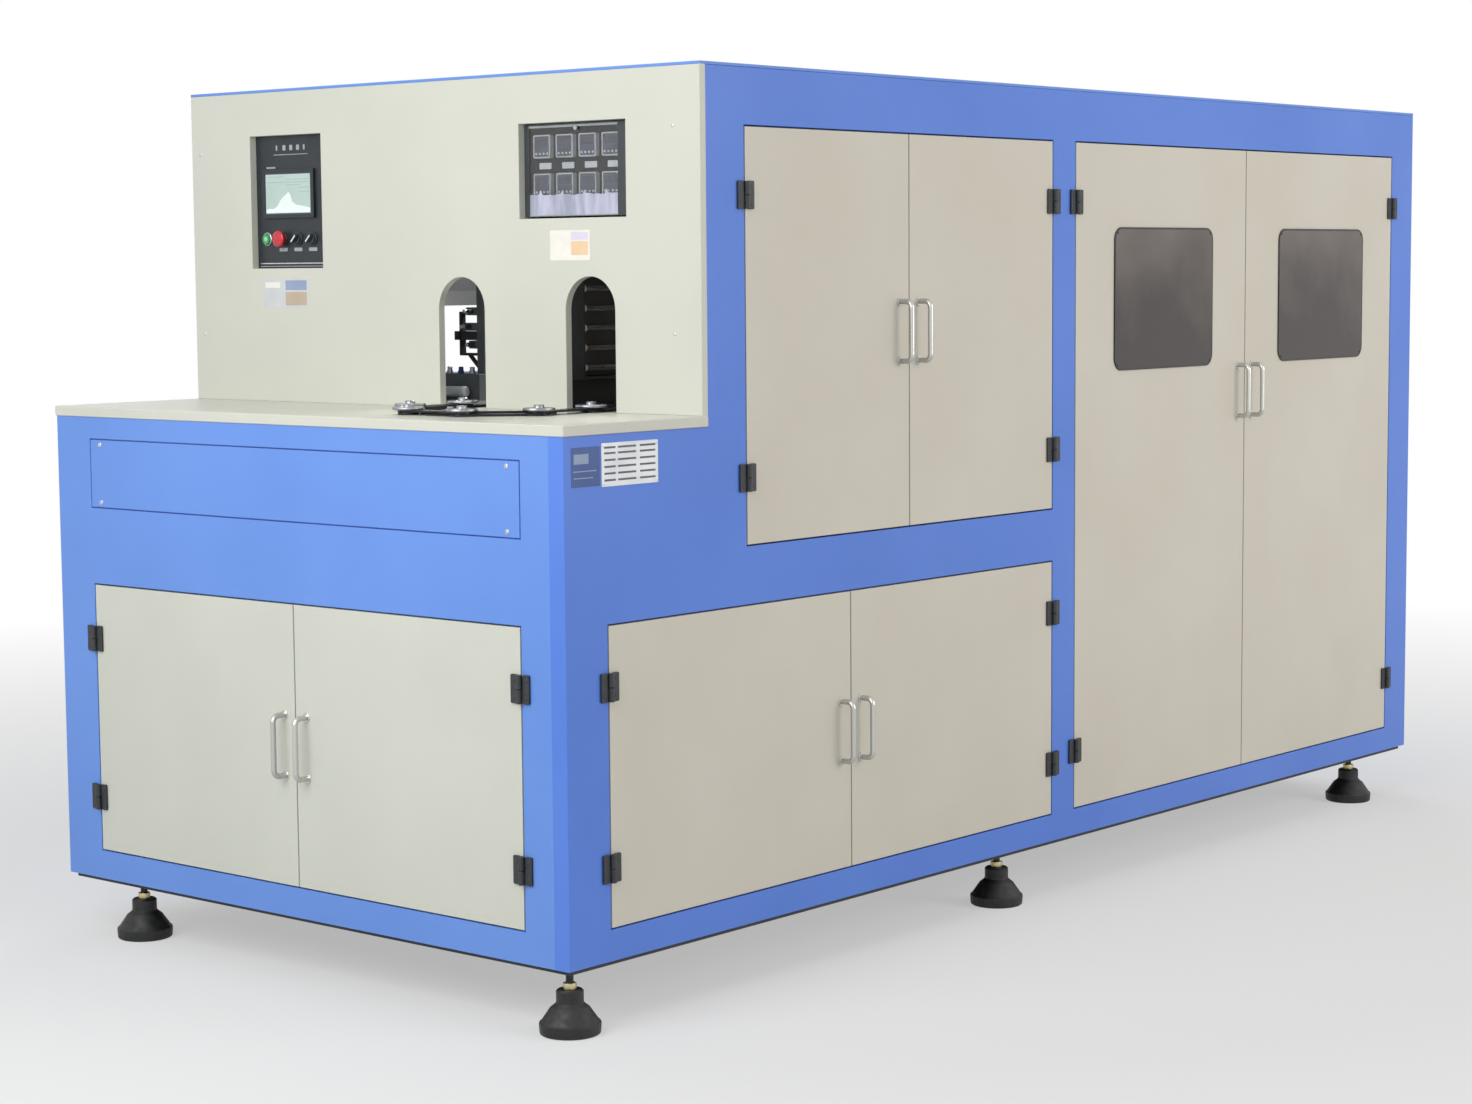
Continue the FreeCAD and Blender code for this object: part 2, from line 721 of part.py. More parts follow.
def gearMotor():
    """Right-angle gearbox under the deck with its motor lying towards the rear."""
    half = gearCase / 2
    case = block(loopX - half, loopX + half, wheelY - half, wheelY + half, deckUnder - gearCase, deckUnder)
    z = deckUnder - half
    motor = along(motorRadius, loopX, z, wheelY + half, wheelY + half + motorLength, 20)
    middle = Vector(loopX, wheelY, deckUnder)
    hole = bore(shaftRadius + runClear, middle - Vector(0, 0, shaftReach + 5), middle, 16)
    return case.fuse(motor).cut(hole)


def ovenDeck():
    deck = block(left + frameDepth, right - frameDepth, tallFront, lowBayEnd - deckThick, deckUnder, worktopTop)
    middle = Vector(loopX, wheelY, deckUnder)
    return deck.cut(bore(shaftRadius + 3, middle, middle + Vector(0, 0, deckThick)))


lampStart = panelFace + lampGap
lampEnd = wheelY - wheelFlat - wheelGap
lampFloor = worktopTop + lampBankRise
lampRoof = lampFloor + lampPitch * lampCount + reflectorSheet


def lampBank():
    """Reflector between the two runs: a web on a foot, with a floor, a roof and an end plate at each end."""
    t = reflectorSheet
    x0, x1 = loopX - reflectorHalf, loopX + reflectorHalf
    web = block(loopX - t / 2, loopX + t / 2, lampStart, lampEnd, worktopTop, lampRoof + t)
    levels = [block(x0, x1, lampStart, lampEnd, z, z + t) for z in (worktopTop, lampFloor, lampRoof)]
    ends = [block(x0, x1, y, y + t, lampFloor, lampRoof + t) for y in (lampStart, lampEnd - t)]
    return web.fuse(levels + ends).removeSplitter()


def heatingLamps():
    tubes = []
    for x in (loopX - lampSet, loopX + lampSet):
        for k in range(lampCount):
            z = lampFloor + reflectorSheet + (k + 0.5) * lampPitch - reflectorSheet / 2
            tubes.append(along(lampRadius, x, z, lampStart + reflectorSheet, lampEnd - reflectorSheet, 6))
    return Part.makeCompound(tubes)


def airValves():
    """Three valves on a post that rises from a block on the deck, between the left run and the outlet."""
    x, y = left + valvePost[0], front + valvePost[1]
    half = valveThick / 2
    post = block(x - half, x + half, y - half, y + half, worktopTop, worktopTop + valveTop)
    parts = [block(x - half - reach, x - half, y - half, y + half, worktopTop + z - 9, worktopTop + z + 9)
             for z, reach in valveHeads]
    length, depth, height = valveTank
    parts.append(block(x + half - length, x + half, y - depth / 2, y + depth / 2,
                       worktopTop, worktopTop + height))
    return post.fuse(parts)


# ---- blow station -------------------------------------------------------------------------

rodHeight = (moldBottom + moldTop) / 2
plateOut = tieSpan / 2 + endPlateThick
cavityPlaces = (clampX - cavityApart / 2, clampX + cavityApart / 2)
stretchTop = endPlateTop + bridgeThick + stretchStroke + 30


def tiePlaces():
    return atCorners(clampX - tieApart / 2, clampX + tieApart / 2, tieLow, tieHigh)


def clampFrame():
    """Welded table with an end plate at each end and a bridge over them for the stretch cylinders."""
    w = endPlateWidth / 2
    reach = plateOut + tableRim
    table = block(clampX - w - tableRim, clampX + w + tableRim, parting - reach, parting + reach,
                  tableTop - tableThick, tableTop)
    parts = [block(clampX - cavityApart, clampX + cavityApart, parting - plateOut, parting + plateOut,
                   endPlateTop, endPlateTop + bridgeThick)]
    for near in (parting - plateOut, parting + tieSpan / 2):
        parts.append(block(clampX - w, clampX + w, near, near + endPlateThick, tableTop, endPlateTop))
    frame = table.fuse(parts).removeSplitter()
    frame = frame.cut(along(clampRod + slideClear, clampX, rodHeight, parting - plateOut, parting + plateOut))
    for x in cavityPlaces:
        base = Vector(x, parting, endPlateTop)
        frame = frame.cut(bar(stretchRadius + slideClear, base, base + Vector(0, 0, bridgeThick)))
    return frame


def tieBars():
    return Part.makeCompound([along(tieRadius, x, z, parting - tieSpan / 2, parting + tieSpan / 2)
                              for x, z in tiePlaces()])


def clampPlaten(toward):
    """Moving plate with its clamp rod, on one side of the parting plane."""
    near = parting + toward * moldDepth
    far = near + toward * platenThick
    tip = parting + toward * (plateOut + 20)
    half = tieApart / 2 + platenRim
    plate = block(clampX - half, clampX + half, min(near, far), max(near, far), tieLow - platenRim,
                  tieHigh + platenRim)
    for x, z in tiePlaces():
        plate = plate.cut(along(tieRadius + slideClear, x, z, near, far))
    return plate.fuse(along(clampRod, clampX, rodHeight, far, tip))


def bottleCavity(x):
    """The bottle's outer form: a body with a rounded foot, a shoulder, and a neck open at the mould's top."""
    foot = moldTop - cavityHeight
    profile = [(cavityRadius * 0.8, foot), (cavityRadius, foot + 10),
               (cavityRadius, foot + cavityHeight * 0.68), (neckRadius, foot + cavityHeight * 0.88),
               (neckRadius, moldTop)]
    return turned(profile, Vector(x, parting, 0), 12)


def moldHalf(toward):
    near = parting + toward * slideClear / 2
    far = parting + toward * moldDepth
    half = block(clampX - moldWidth / 2, clampX + moldWidth / 2, min(near, far), max(near, far),
                 moldBottom, moldTop)
    for x in cavityPlaces:
        half = half.cut(bottleCavity(x))
    return half


def clampCylinders():
    solids = []
    for toward in (-1, 1):
        start = parting + toward * plateOut
        end = start + toward * clampLength
        body = along(clampCylinder, clampX, rodHeight, start, end, 16)
        solids.append(body.cut(along(clampRod + slideClear, clampX, rodHeight, start, end - toward * 10)))
    return Part.makeCompound(solids)


def stretchCylinders():
    solids = []
    for x in cavityPlaces:
        base, top = Vector(x, parting, endPlateTop + bridgeThick), Vector(x, parting, stretchTop)
        body = bar(stretchCylinder, base, top, 12)
        solids.append(body.cut(bar(stretchRadius + slideClear, base, top - Vector(0, 0, 8))))
    return Part.makeCompound(solids)


def stretchRods():
    """The two cylinders' rods, drawn up above the mould."""
    return Part.makeCompound([bar(stretchRadius, Vector(x, parting, moldTop + rodRise),
                                  Vector(x, parting, stretchTop - 10)) for x in cavityPlaces])


# ---- services in the lower part -----------------------------------------------------------

def electricalPanel():
    """Mounting plate that stands on a cross beam, with rows of breakers, contactors and drives."""
    y = beams[0]
    x0, x1 = left + gearPlateInset[0], right - gearPlateInset[1]
    panel = block(x0, x1, y, y + plateThick, tubeTop, lowDoorTop - gearPlateDrop)
    devices = []
    for z, tall, deep, widths in gearRows:
        x = x0 + gearMargin
        for width in widths:
            devices.append(block(x, x + width, y - deep, y, z, z + tall))
            x += width + gearGap
    return panel.fuse(devices)


def airTank():
    """Tank lying along the machine on two saddles over the cross beams."""
    x, z = right - tankMiddle, tubeTop + tankRadius + tankRise
    shell = along(tankRadius, x, z, beams[1] - tankOverhang, beams[2] + tankOverhang, 20)
    w, t = saddleWidth / 2, saddleThick / 2
    saddles = [block(x - w, x + w, y - t, y + t, tubeTop, z - tankRadius / 2) for y in beams[1:]]
    return shell.fuse(saddles)


def cableGland():
    """Inlet for the supply under the base frame's flange, near the rear."""
    under = Vector(left + glandPlace[0], back - glandPlace[1], baseBottom)
    nut = under - Vector(0, 0, glandNut[1])
    tip = nut - Vector(0, 0, glandTip[1])
    inlet = bar(glandNut[0], under, nut, 6).fuse(bar(glandTip[0], nut, tip, 12))
    return inlet.cut(bore(glandBore, nut, tip))


# ---- write the pieces ---------------------------------------------------------------------

os.makedirs("parts", exist_ok=True)

save("base_frame", baseFrame())
save("foot_pads", feet(footPad))
save("foot_studs", feet(footStud))

save("right_side_frame", tray("right", steppedOutline, frameDepth, sheet,
                              [lowerOpening, upperOpening, tallOpening]))
save("left_cover", tray("left", steppedOutline, frameDepth, sheet, [outlet]))
save("front_frame", frontFrame())
save("rear_cover", tray("rear", rectangle(left + frameDepth, right - frameDepth, bodyBottom, frameTop),
                        frameDepth, sheet))
save("top_cover", block(left, right, panelFace, back, frameTop, bodyTop))
save("worktop", worktop())
save("upright_panel", uprightPanel())
save("front_cover_plate", tray("front", coverPlate, plateDepth, plateSheet))

doorPair("front_door", "front", frontOpening, hingeInsetLow, (lowDoorBottom + lowDoorTop) / 2)
doorPair("lower_door", "right", lowerOpening, hingeInsetLow, (lowDoorBottom + lowDoorTop) / 2)
doorPair("upper_door", "right", upperOpening, hingeInsetTall, (upperDoorBottom + doorTop) / 2)
doorPair("tall_door", "right", tallOpening, hingeInsetTall, tallHandleHeight, hasWindow=True)
save("frame_hinges", Part.makeCompound(frameHinges))

save("screen_plate", screenPlate())
save("touch_screen", touchScreen())
save("start_button", startButton())
save("stop_button", stopButton())
save("selector_1", selector(buttonPlaces[2]))
save("selector_2", selector(buttonPlaces[3]))
save("instrument_plate", recessPlate(meterRecess, meterDepth))
save("instruments", instruments())
save("instrument_cover", instrumentCover())

save("oven_deck", ovenDeck())
save("chain_links", chainLinks())
save("preform_holders", preformHolders())
save("chain_guide", chainGuide())
save("chain_wheel", chainWheel())
save("gear_motor", gearMotor())
save("lamp_bank", lampBank())
save("heating_lamps", heatingLamps())
save("air_valves", airValves())

save("clamp_frame", clampFrame())
save("tie_bars", tieBars())
save("clamp_platen_front", clampPlaten(-1))
save("clamp_platen_rear", clampPlaten(1))
save("mould_half_front", moldHalf(-1))
save("mould_half_rear", moldHalf(1))
save("clamp_cylinders", clampCylinders())
save("stretch_cylinders", stretchCylinders())
save("stretch_rods", stretchRods())

save("electrical_panel", electricalPanel())
save("air_tank", airTank())
save("cable_gland", cableGland())
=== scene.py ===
import json
from math import acos, atan2, cos, pi, radians, sin, tan
import bmesh
import bpy
from mathutils import Matrix, Vector
from mathutils.geometry import tessellate_polygon


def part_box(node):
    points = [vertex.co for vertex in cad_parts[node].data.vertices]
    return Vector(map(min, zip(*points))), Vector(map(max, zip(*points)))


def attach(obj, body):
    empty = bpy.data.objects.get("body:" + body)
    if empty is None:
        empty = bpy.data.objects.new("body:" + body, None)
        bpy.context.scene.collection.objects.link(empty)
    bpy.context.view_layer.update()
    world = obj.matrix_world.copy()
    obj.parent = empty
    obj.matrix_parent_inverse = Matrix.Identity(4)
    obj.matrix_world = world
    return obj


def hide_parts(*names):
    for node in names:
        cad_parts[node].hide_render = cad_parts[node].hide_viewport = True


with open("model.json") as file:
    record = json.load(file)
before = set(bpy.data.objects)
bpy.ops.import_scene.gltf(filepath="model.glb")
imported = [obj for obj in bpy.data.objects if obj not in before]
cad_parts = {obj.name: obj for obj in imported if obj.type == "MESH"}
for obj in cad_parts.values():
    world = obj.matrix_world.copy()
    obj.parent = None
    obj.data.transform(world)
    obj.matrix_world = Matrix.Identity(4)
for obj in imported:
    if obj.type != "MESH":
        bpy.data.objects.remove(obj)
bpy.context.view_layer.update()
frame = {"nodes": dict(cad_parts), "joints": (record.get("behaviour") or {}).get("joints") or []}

print("frame loaded")

# Shapes are drawn in millimetres in the row's frame and turned to metres when a piece is made.


def span(node):
    low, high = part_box(node)
    return low * 1000, high * 1000


def solidSpans(node):
    # boxes of a node's separate solids, found by the corners that their faces share
    mesh = frame["nodes"][node].data
    solids = []
    for face in mesh.polygons:
        here = {tuple(round(c * 1e5) for c in mesh.vertices[v].co) for v in face.vertices}
        apart = [solid for solid in solids if solid.isdisjoint(here)]
        solids = apart + [here.union(*(solid for solid in solids if not solid.isdisjoint(here)))]
    boxes = [[Vector([pick(c) for c in zip(*solid)]) / 100 for pick in (min, max)] for solid in solids]
    return sorted(boxes, key=lambda box: tuple(round(c) for c in (box[0] + box[1]) / 2))


def facing(side, x=0.0, y=0.0, z=0.0):
    # local u runs to the right, v up and w out of the face
    right = {"front": (1, 0, 0), "right": (0, 1, 0), "left": (0, -1, 0), "rear": (-1, 0, 0)}[side]
    u, v = Vector(right), Vector((0, 0, 1))
    return Matrix.Translation((x, y, z)) @ Matrix((u, v, u.cross(v))).transposed().to_4x4()


def pointing(way, x, y, z):
    # local w runs along x or y, one way or the other
    axis, turn = {"x": ("Y", 1), "-x": ("Y", -1), "y": ("X", -1), "-y": ("X", 1)}[way]
    return Matrix.Translation((x, y, z)) @ Matrix.Rotation(turn * pi / 2, 4, axis)


def moved(at, x, y, z=0.0):
    return at @ Matrix.Translation((x, y, z))


def standing(low, high, z):
    # local w runs up from z in the middle of a box
    return Matrix.Translation(((low.x + high.x) / 2, (low.y + high.y) / 2, z))


def ringSpots(at, count, radius, z=0.0, start=0.0):
    # places spread evenly round w
    turns = [start + 2 * pi * k / count for k in range(count)]
    return [moved(at, radius * cos(a), radius * sin(a), z) for a in turns]


def area(points):
    return sum(a[0] * b[1] - b[0] * a[1] for a, b in zip(points, points[1:] + points[:1])) / 2


def rect(u0, u1, v0, v1):
    return [(u0, v0), (u1, v0), (u1, v1), (u0, v1)]


def circle(radius, u=0.0, v=0.0, steps=40, start=0.0):
    turns = [start + 2 * pi * k / steps for k in range(steps)]
    return [(u + radius * cos(a), v + radius * sin(a)) for a in turns]


def rounded(points, radius, steps=5, closed=True):
    # corners of an outline or a line turned into arcs
    out = []
    for k, here in enumerate(points):
        here = Vector(here)
        a, b = Vector(points[k - 1]) - here, Vector(points[(k + 1) % len(points)]) - here
        most = min(a.length, b.length) * 0.49
        a, b = a.normalized(), b.normalized()
        half = acos(max(-1, min(1, a.dot(b)))) / 2
        if half > pi / 2 - 0.02 or (not closed and k in (0, len(points) - 1)):
            out.append(tuple(here))
            continue
        reach = min(radius / tan(half), most)
        r = reach * tan(half)
        centre = here + (a + b).normalized() * (r / sin(half))
        first, last = here + a * reach - centre, here + b * reach - centre
        angle = atan2(first.y, first.x)
        swing = (atan2(last.y, last.x) - angle + pi) % (2 * pi) - pi
        for s in range(steps + 1):
            turn = angle + swing * s / steps
            out.append((centre.x + r * cos(turn), centre.y + r * sin(turn)))
    return out


def softRect(u0, u1, v0, v1, radius, steps=5):
    return rounded(rect(u0, u1, v0, v1), radius, steps)


def inset(points, distance):
    # every corner moved to the left of the way round, along its mitre
    out = []
    for k, here in enumerate(points):
        here = Vector(here)
        a = (here - Vector(points[k - 1])).normalized()
        b = (Vector(points[(k + 1) % len(points)]) - here).normalized()
        na, nb = Vector((-a.y, a.x)), Vector((-b.y, b.x))
        out.append(tuple(here + (na + nb) * (distance / max(0.3, 1 + na.dot(nb)))))
    return out


def bridge(bm, rings, material):
    # band of faces from each ring to the next; a ring of one point makes a tip
    for a, b in zip(rings, rings[1:]):
        for k in range(max(len(a), len(b))):
            corners = [a[k % len(a)], a[(k + 1) % len(a)], b[(k + 1) % len(b)], b[k % len(b)]]
            corners = list(dict.fromkeys(corners))
            if len(corners) > 2:
                bm.faces.new(corners).material_index = material


def loft(bm, loops, at, material=0, lining=None):
    # closed solid from outlines with their sections of (inset, w); the first outline is the
    # outside and the others are holes through it; lining is the look of the first section's face
    ends = [[], []]
    flats = [[], []]
    for number, (outline, sections) in enumerate(loops):
        if (area(outline) > 0) != (number == 0):
            outline = outline[::-1]
        lines = [inset(outline, distance) if distance else outline for distance, _ in sections]
        rings = [[bm.verts.new(at @ Vector((*p, w))) for p in line]
                 for line, (_, w) in zip(lines, sections)]
        bridge(bm, rings, material)
        for end in (0, -1):
            ends[end] += rings[end]
            flats[end].append([Vector((*p, 0)) for p in lines[end]])
    for ring, flat, look in zip(ends, flats, (material if lining is None else lining, material)):
        groups = [range(len(ring))] if len(flat) == 1 else tessellate_polygon(flat)
        for group in groups:
            bm.faces.new([ring[k] for k in group]).material_index = look


def edgeSections(w0, w1, edge, steps=2):
    if not edge:
        return [(0, w0), (0, w1)]
    turns = [k * pi / 2 / steps for k in range(steps + 1)]
    low = [(edge * (1 - sin(a)), w0 + edge * (1 - cos(a))) for a in turns]
    return low + [(d, w0 + w1 - w) for d, w in reversed(low)]


def plate(bm, outline, w0, w1, at, edge=0.0, holes=(), material=0):
    sections = edgeSections(min(w0, w1), max(w0, w1), edge)
    loft(bm, [(outline, sections)] + [(hole, sections) for hole in holes], at, material)


def cuboid(bm, low, high, edge=0.0, material=0):
    # box between two corners in the row's frame, its upright edges rounded as well
    outline = rect(low[0], high[0], low[1], high[1])
    if edge:
        outline = rounded(outline, edge, 3)
    plate(bm, outline, low[2], high[2], Matrix(), edge, material=material)


def lathe(bm, profile, at, steps=48, material=0, closed=False):
    # profile of (radius, w) turned about w, and capped at its ends or closed on itself
    rings = []
    for radius, w in profile:
        turns = [2 * pi * k / steps for k in range(steps)] if radius > 1e-6 else [0]
        rings.append([bm.verts.new(at @ Vector((radius * cos(a), radius * sin(a), w))) for a in turns])
    bridge(bm, rings + rings[:1] if closed else rings, material)
    for ring in (rings[0], rings[-1]):
        if len(ring) > 2 and not closed:
            bm.faces.new(ring).material_index = material


def bar(radius, w0, w1, bevel=0.0):
    # profile of a plain turned bar
    side = [(radius, w0), (radius, w1)]
    if bevel:
        side = [(radius - bevel, w0), (radius, w0 + bevel), (radius, w1 - bevel), (radius - bevel, w1)]
    return [(0, w0)] + side + [(0, w1)]


def rod(bm, points, radius, steps=16, material=0):
    # round bar along a line of points in the row's frame
    points = [Vector(p) for p in points]
    across = None
    rings = []
    for k, here in enumerate(points):
        ahead = points[min(k + 1, len(points) - 1)] - points[max(k - 1, 0)]
        ahead.normalize()
        if across is None:
            across = ahead.orthogonal()
        across = (across - ahead * across.dot(ahead)).normalized()
        other = ahead.cross(across)
        turns = [2 * pi * s / steps for s in range(steps)]
        rings.append([bm.verts.new(here + (across * cos(a) + other * sin(a)) * radius) for a in turns])
    bridge(bm, rings, material)
    for ring in (rings[0], rings[-1]):
        bm.faces.new(ring).material_index = material


def screwHead(bm, at, radius, height, material=0):
    # low domed head with a shallow round recess in its middle
    shares = ((1, 0), (1, 0.35), (0.86, 0.75), (0.5, 0.96), (0.34, 1), (0.3, 0.55), (0, 0.5))
    lathe(bm, [(radius * r, height * w) for r, w in shares], at, 24, material)


def foldRings(sheet, depth, fold):
    # sections of a folded edge: from the inner face over the free edge to the outer face
    outside = [(0, -fold), (fold * 0.3, -fold * 0.3), (fold, 0)] if fold else [(0, 0)]
    return [(sheet, -sheet), (sheet, -depth), (0, -depth)] + outside


def addObject(name, data):
    thing = bpy.data.objects.new(name, data)
    bpy.context.scene.collection.objects.link(thing)
    return thing


def makePiece(name, body, bm, looks, replaces=(), sharp=32):
    bmesh.ops.scale(bm, vec=(0.001, 0.001, 0.001), verts=bm.verts)
    bmesh.ops.recalc_face_normals(bm, faces=bm.faces)
    for face in bm.faces:
        face.smooth = True
    for edge in bm.edges:
        edge.smooth = len(edge.link_faces) == 2 and edge.calc_face_angle(0) < radians(sharp)
    mesh = bpy.data.meshes.new(name)
    bm.to_mesh(mesh)
    bm.free()
    for look in looks:
        mesh.materials.append(finish[look])
    piece = addObject(name, mesh)
    piece.modifiers.new("faceNormals", "WEIGHTED_NORMAL").keep_sharp = True
    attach(piece, body)
    if replaces:
        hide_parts(*replaces)
    return piece


def linear(hexCode):
    parts = [int(hexCode[k:k + 2], 16) / 255 for k in (1, 3, 5)]
    return [c / 12.92 if c <= 0.04045 else ((c + 0.055) / 1.055) ** 2.4 for c in parts] + [1.0]


def newTree(owner):
    owner.use_nodes = True
    owner.node_tree.nodes.clear()
    return owner.node_tree


def addNode(tree, kind, settings=None, links=None):
    node = tree.nodes.new("ShaderNode" + kind)
    for key, value in (settings or {}).items():
        if isinstance(key, str) and hasattr(node, key):
            setattr(node, key, value)
        else:
            node.inputs[key].default_value = value
    for key, socket in (links or {}).items():
        tree.links.new(socket, node.inputs[key])
    return node


def makeFinish(name, colour, shade, blotch, rough, relief, sockets, stretch=None, fade=None):
    # colour in soft blotches, roughness in patches and a fine relief
    material = bpy.data.materials.new(name)
    tree = newTree(material)
    place = addNode(tree, "TexCoord").outputs["Object"]
    if stretch:
        place = addNode(tree, "Mapping", {"Scale": stretch}, {"Vector": place}).outputs[0]

    def noise(size, detail=2.0):
        settings = {"Scale": 1000 / size, "Detail": detail}
        return addNode(tree, "TexNoise", settings, {"Vector": place}).outputs[0]

    def between(value, low, high, start=0.35, end=0.65):
        settings = {"From Min": start, "From Max": end, "To Min": low, "To Max": high}
        return addNode(tree, "MapRange", settings, {"Value": value}).outputs[0]

    shader = addNode(tree, "BsdfPrincipled", sockets)
    blotches = between(noise(blotch, 3.0), 0.0, 1.0)
    if fade:
        # painted reflection: darker towards the lower of two heights in metres
        height = addNode(tree, "SeparateXYZ", None, {0: place}).outputs[2]
        lower = between(height, 1.0, -0.1, *fade)
        settings = {"operation": "MULTIPLY_ADD", 1: 0.45}
        blotches = addNode(tree, "Math", settings, {0: blotches, 2: lower}).outputs[0]
    settings = {"data_type": "RGBA", 6: linear(colour), 7: linear(shade)}
    mixed = addNode(tree, "Mix", settings, {0: blotches}).outputs[2]
    tree.links.new(mixed, shader.inputs["Base Color"])
    tree.links.new(between(noise(blotch * 0.6), *rough), shader.inputs["Roughness"])
    normal = None
    for size, depth in relief:
        links = {"Height": noise(size, 1.0), **({"Normal": normal} if normal else {})}
        normal = addNode(tree, "Bump", {"Distance": depth / 1000}, links).outputs[0]
    tree.links.new(normal, shader.inputs["Normal"])
    addNode(tree, "OutputMaterial", None, {"Surface": shader.outputs[0]})
    return material


# Finishes: colour and its darker shade in sRGB hex, size of the blotches, roughness, relief as
# (size, depth), constants of the shader, stretch and fade. Sizes are millimetres.

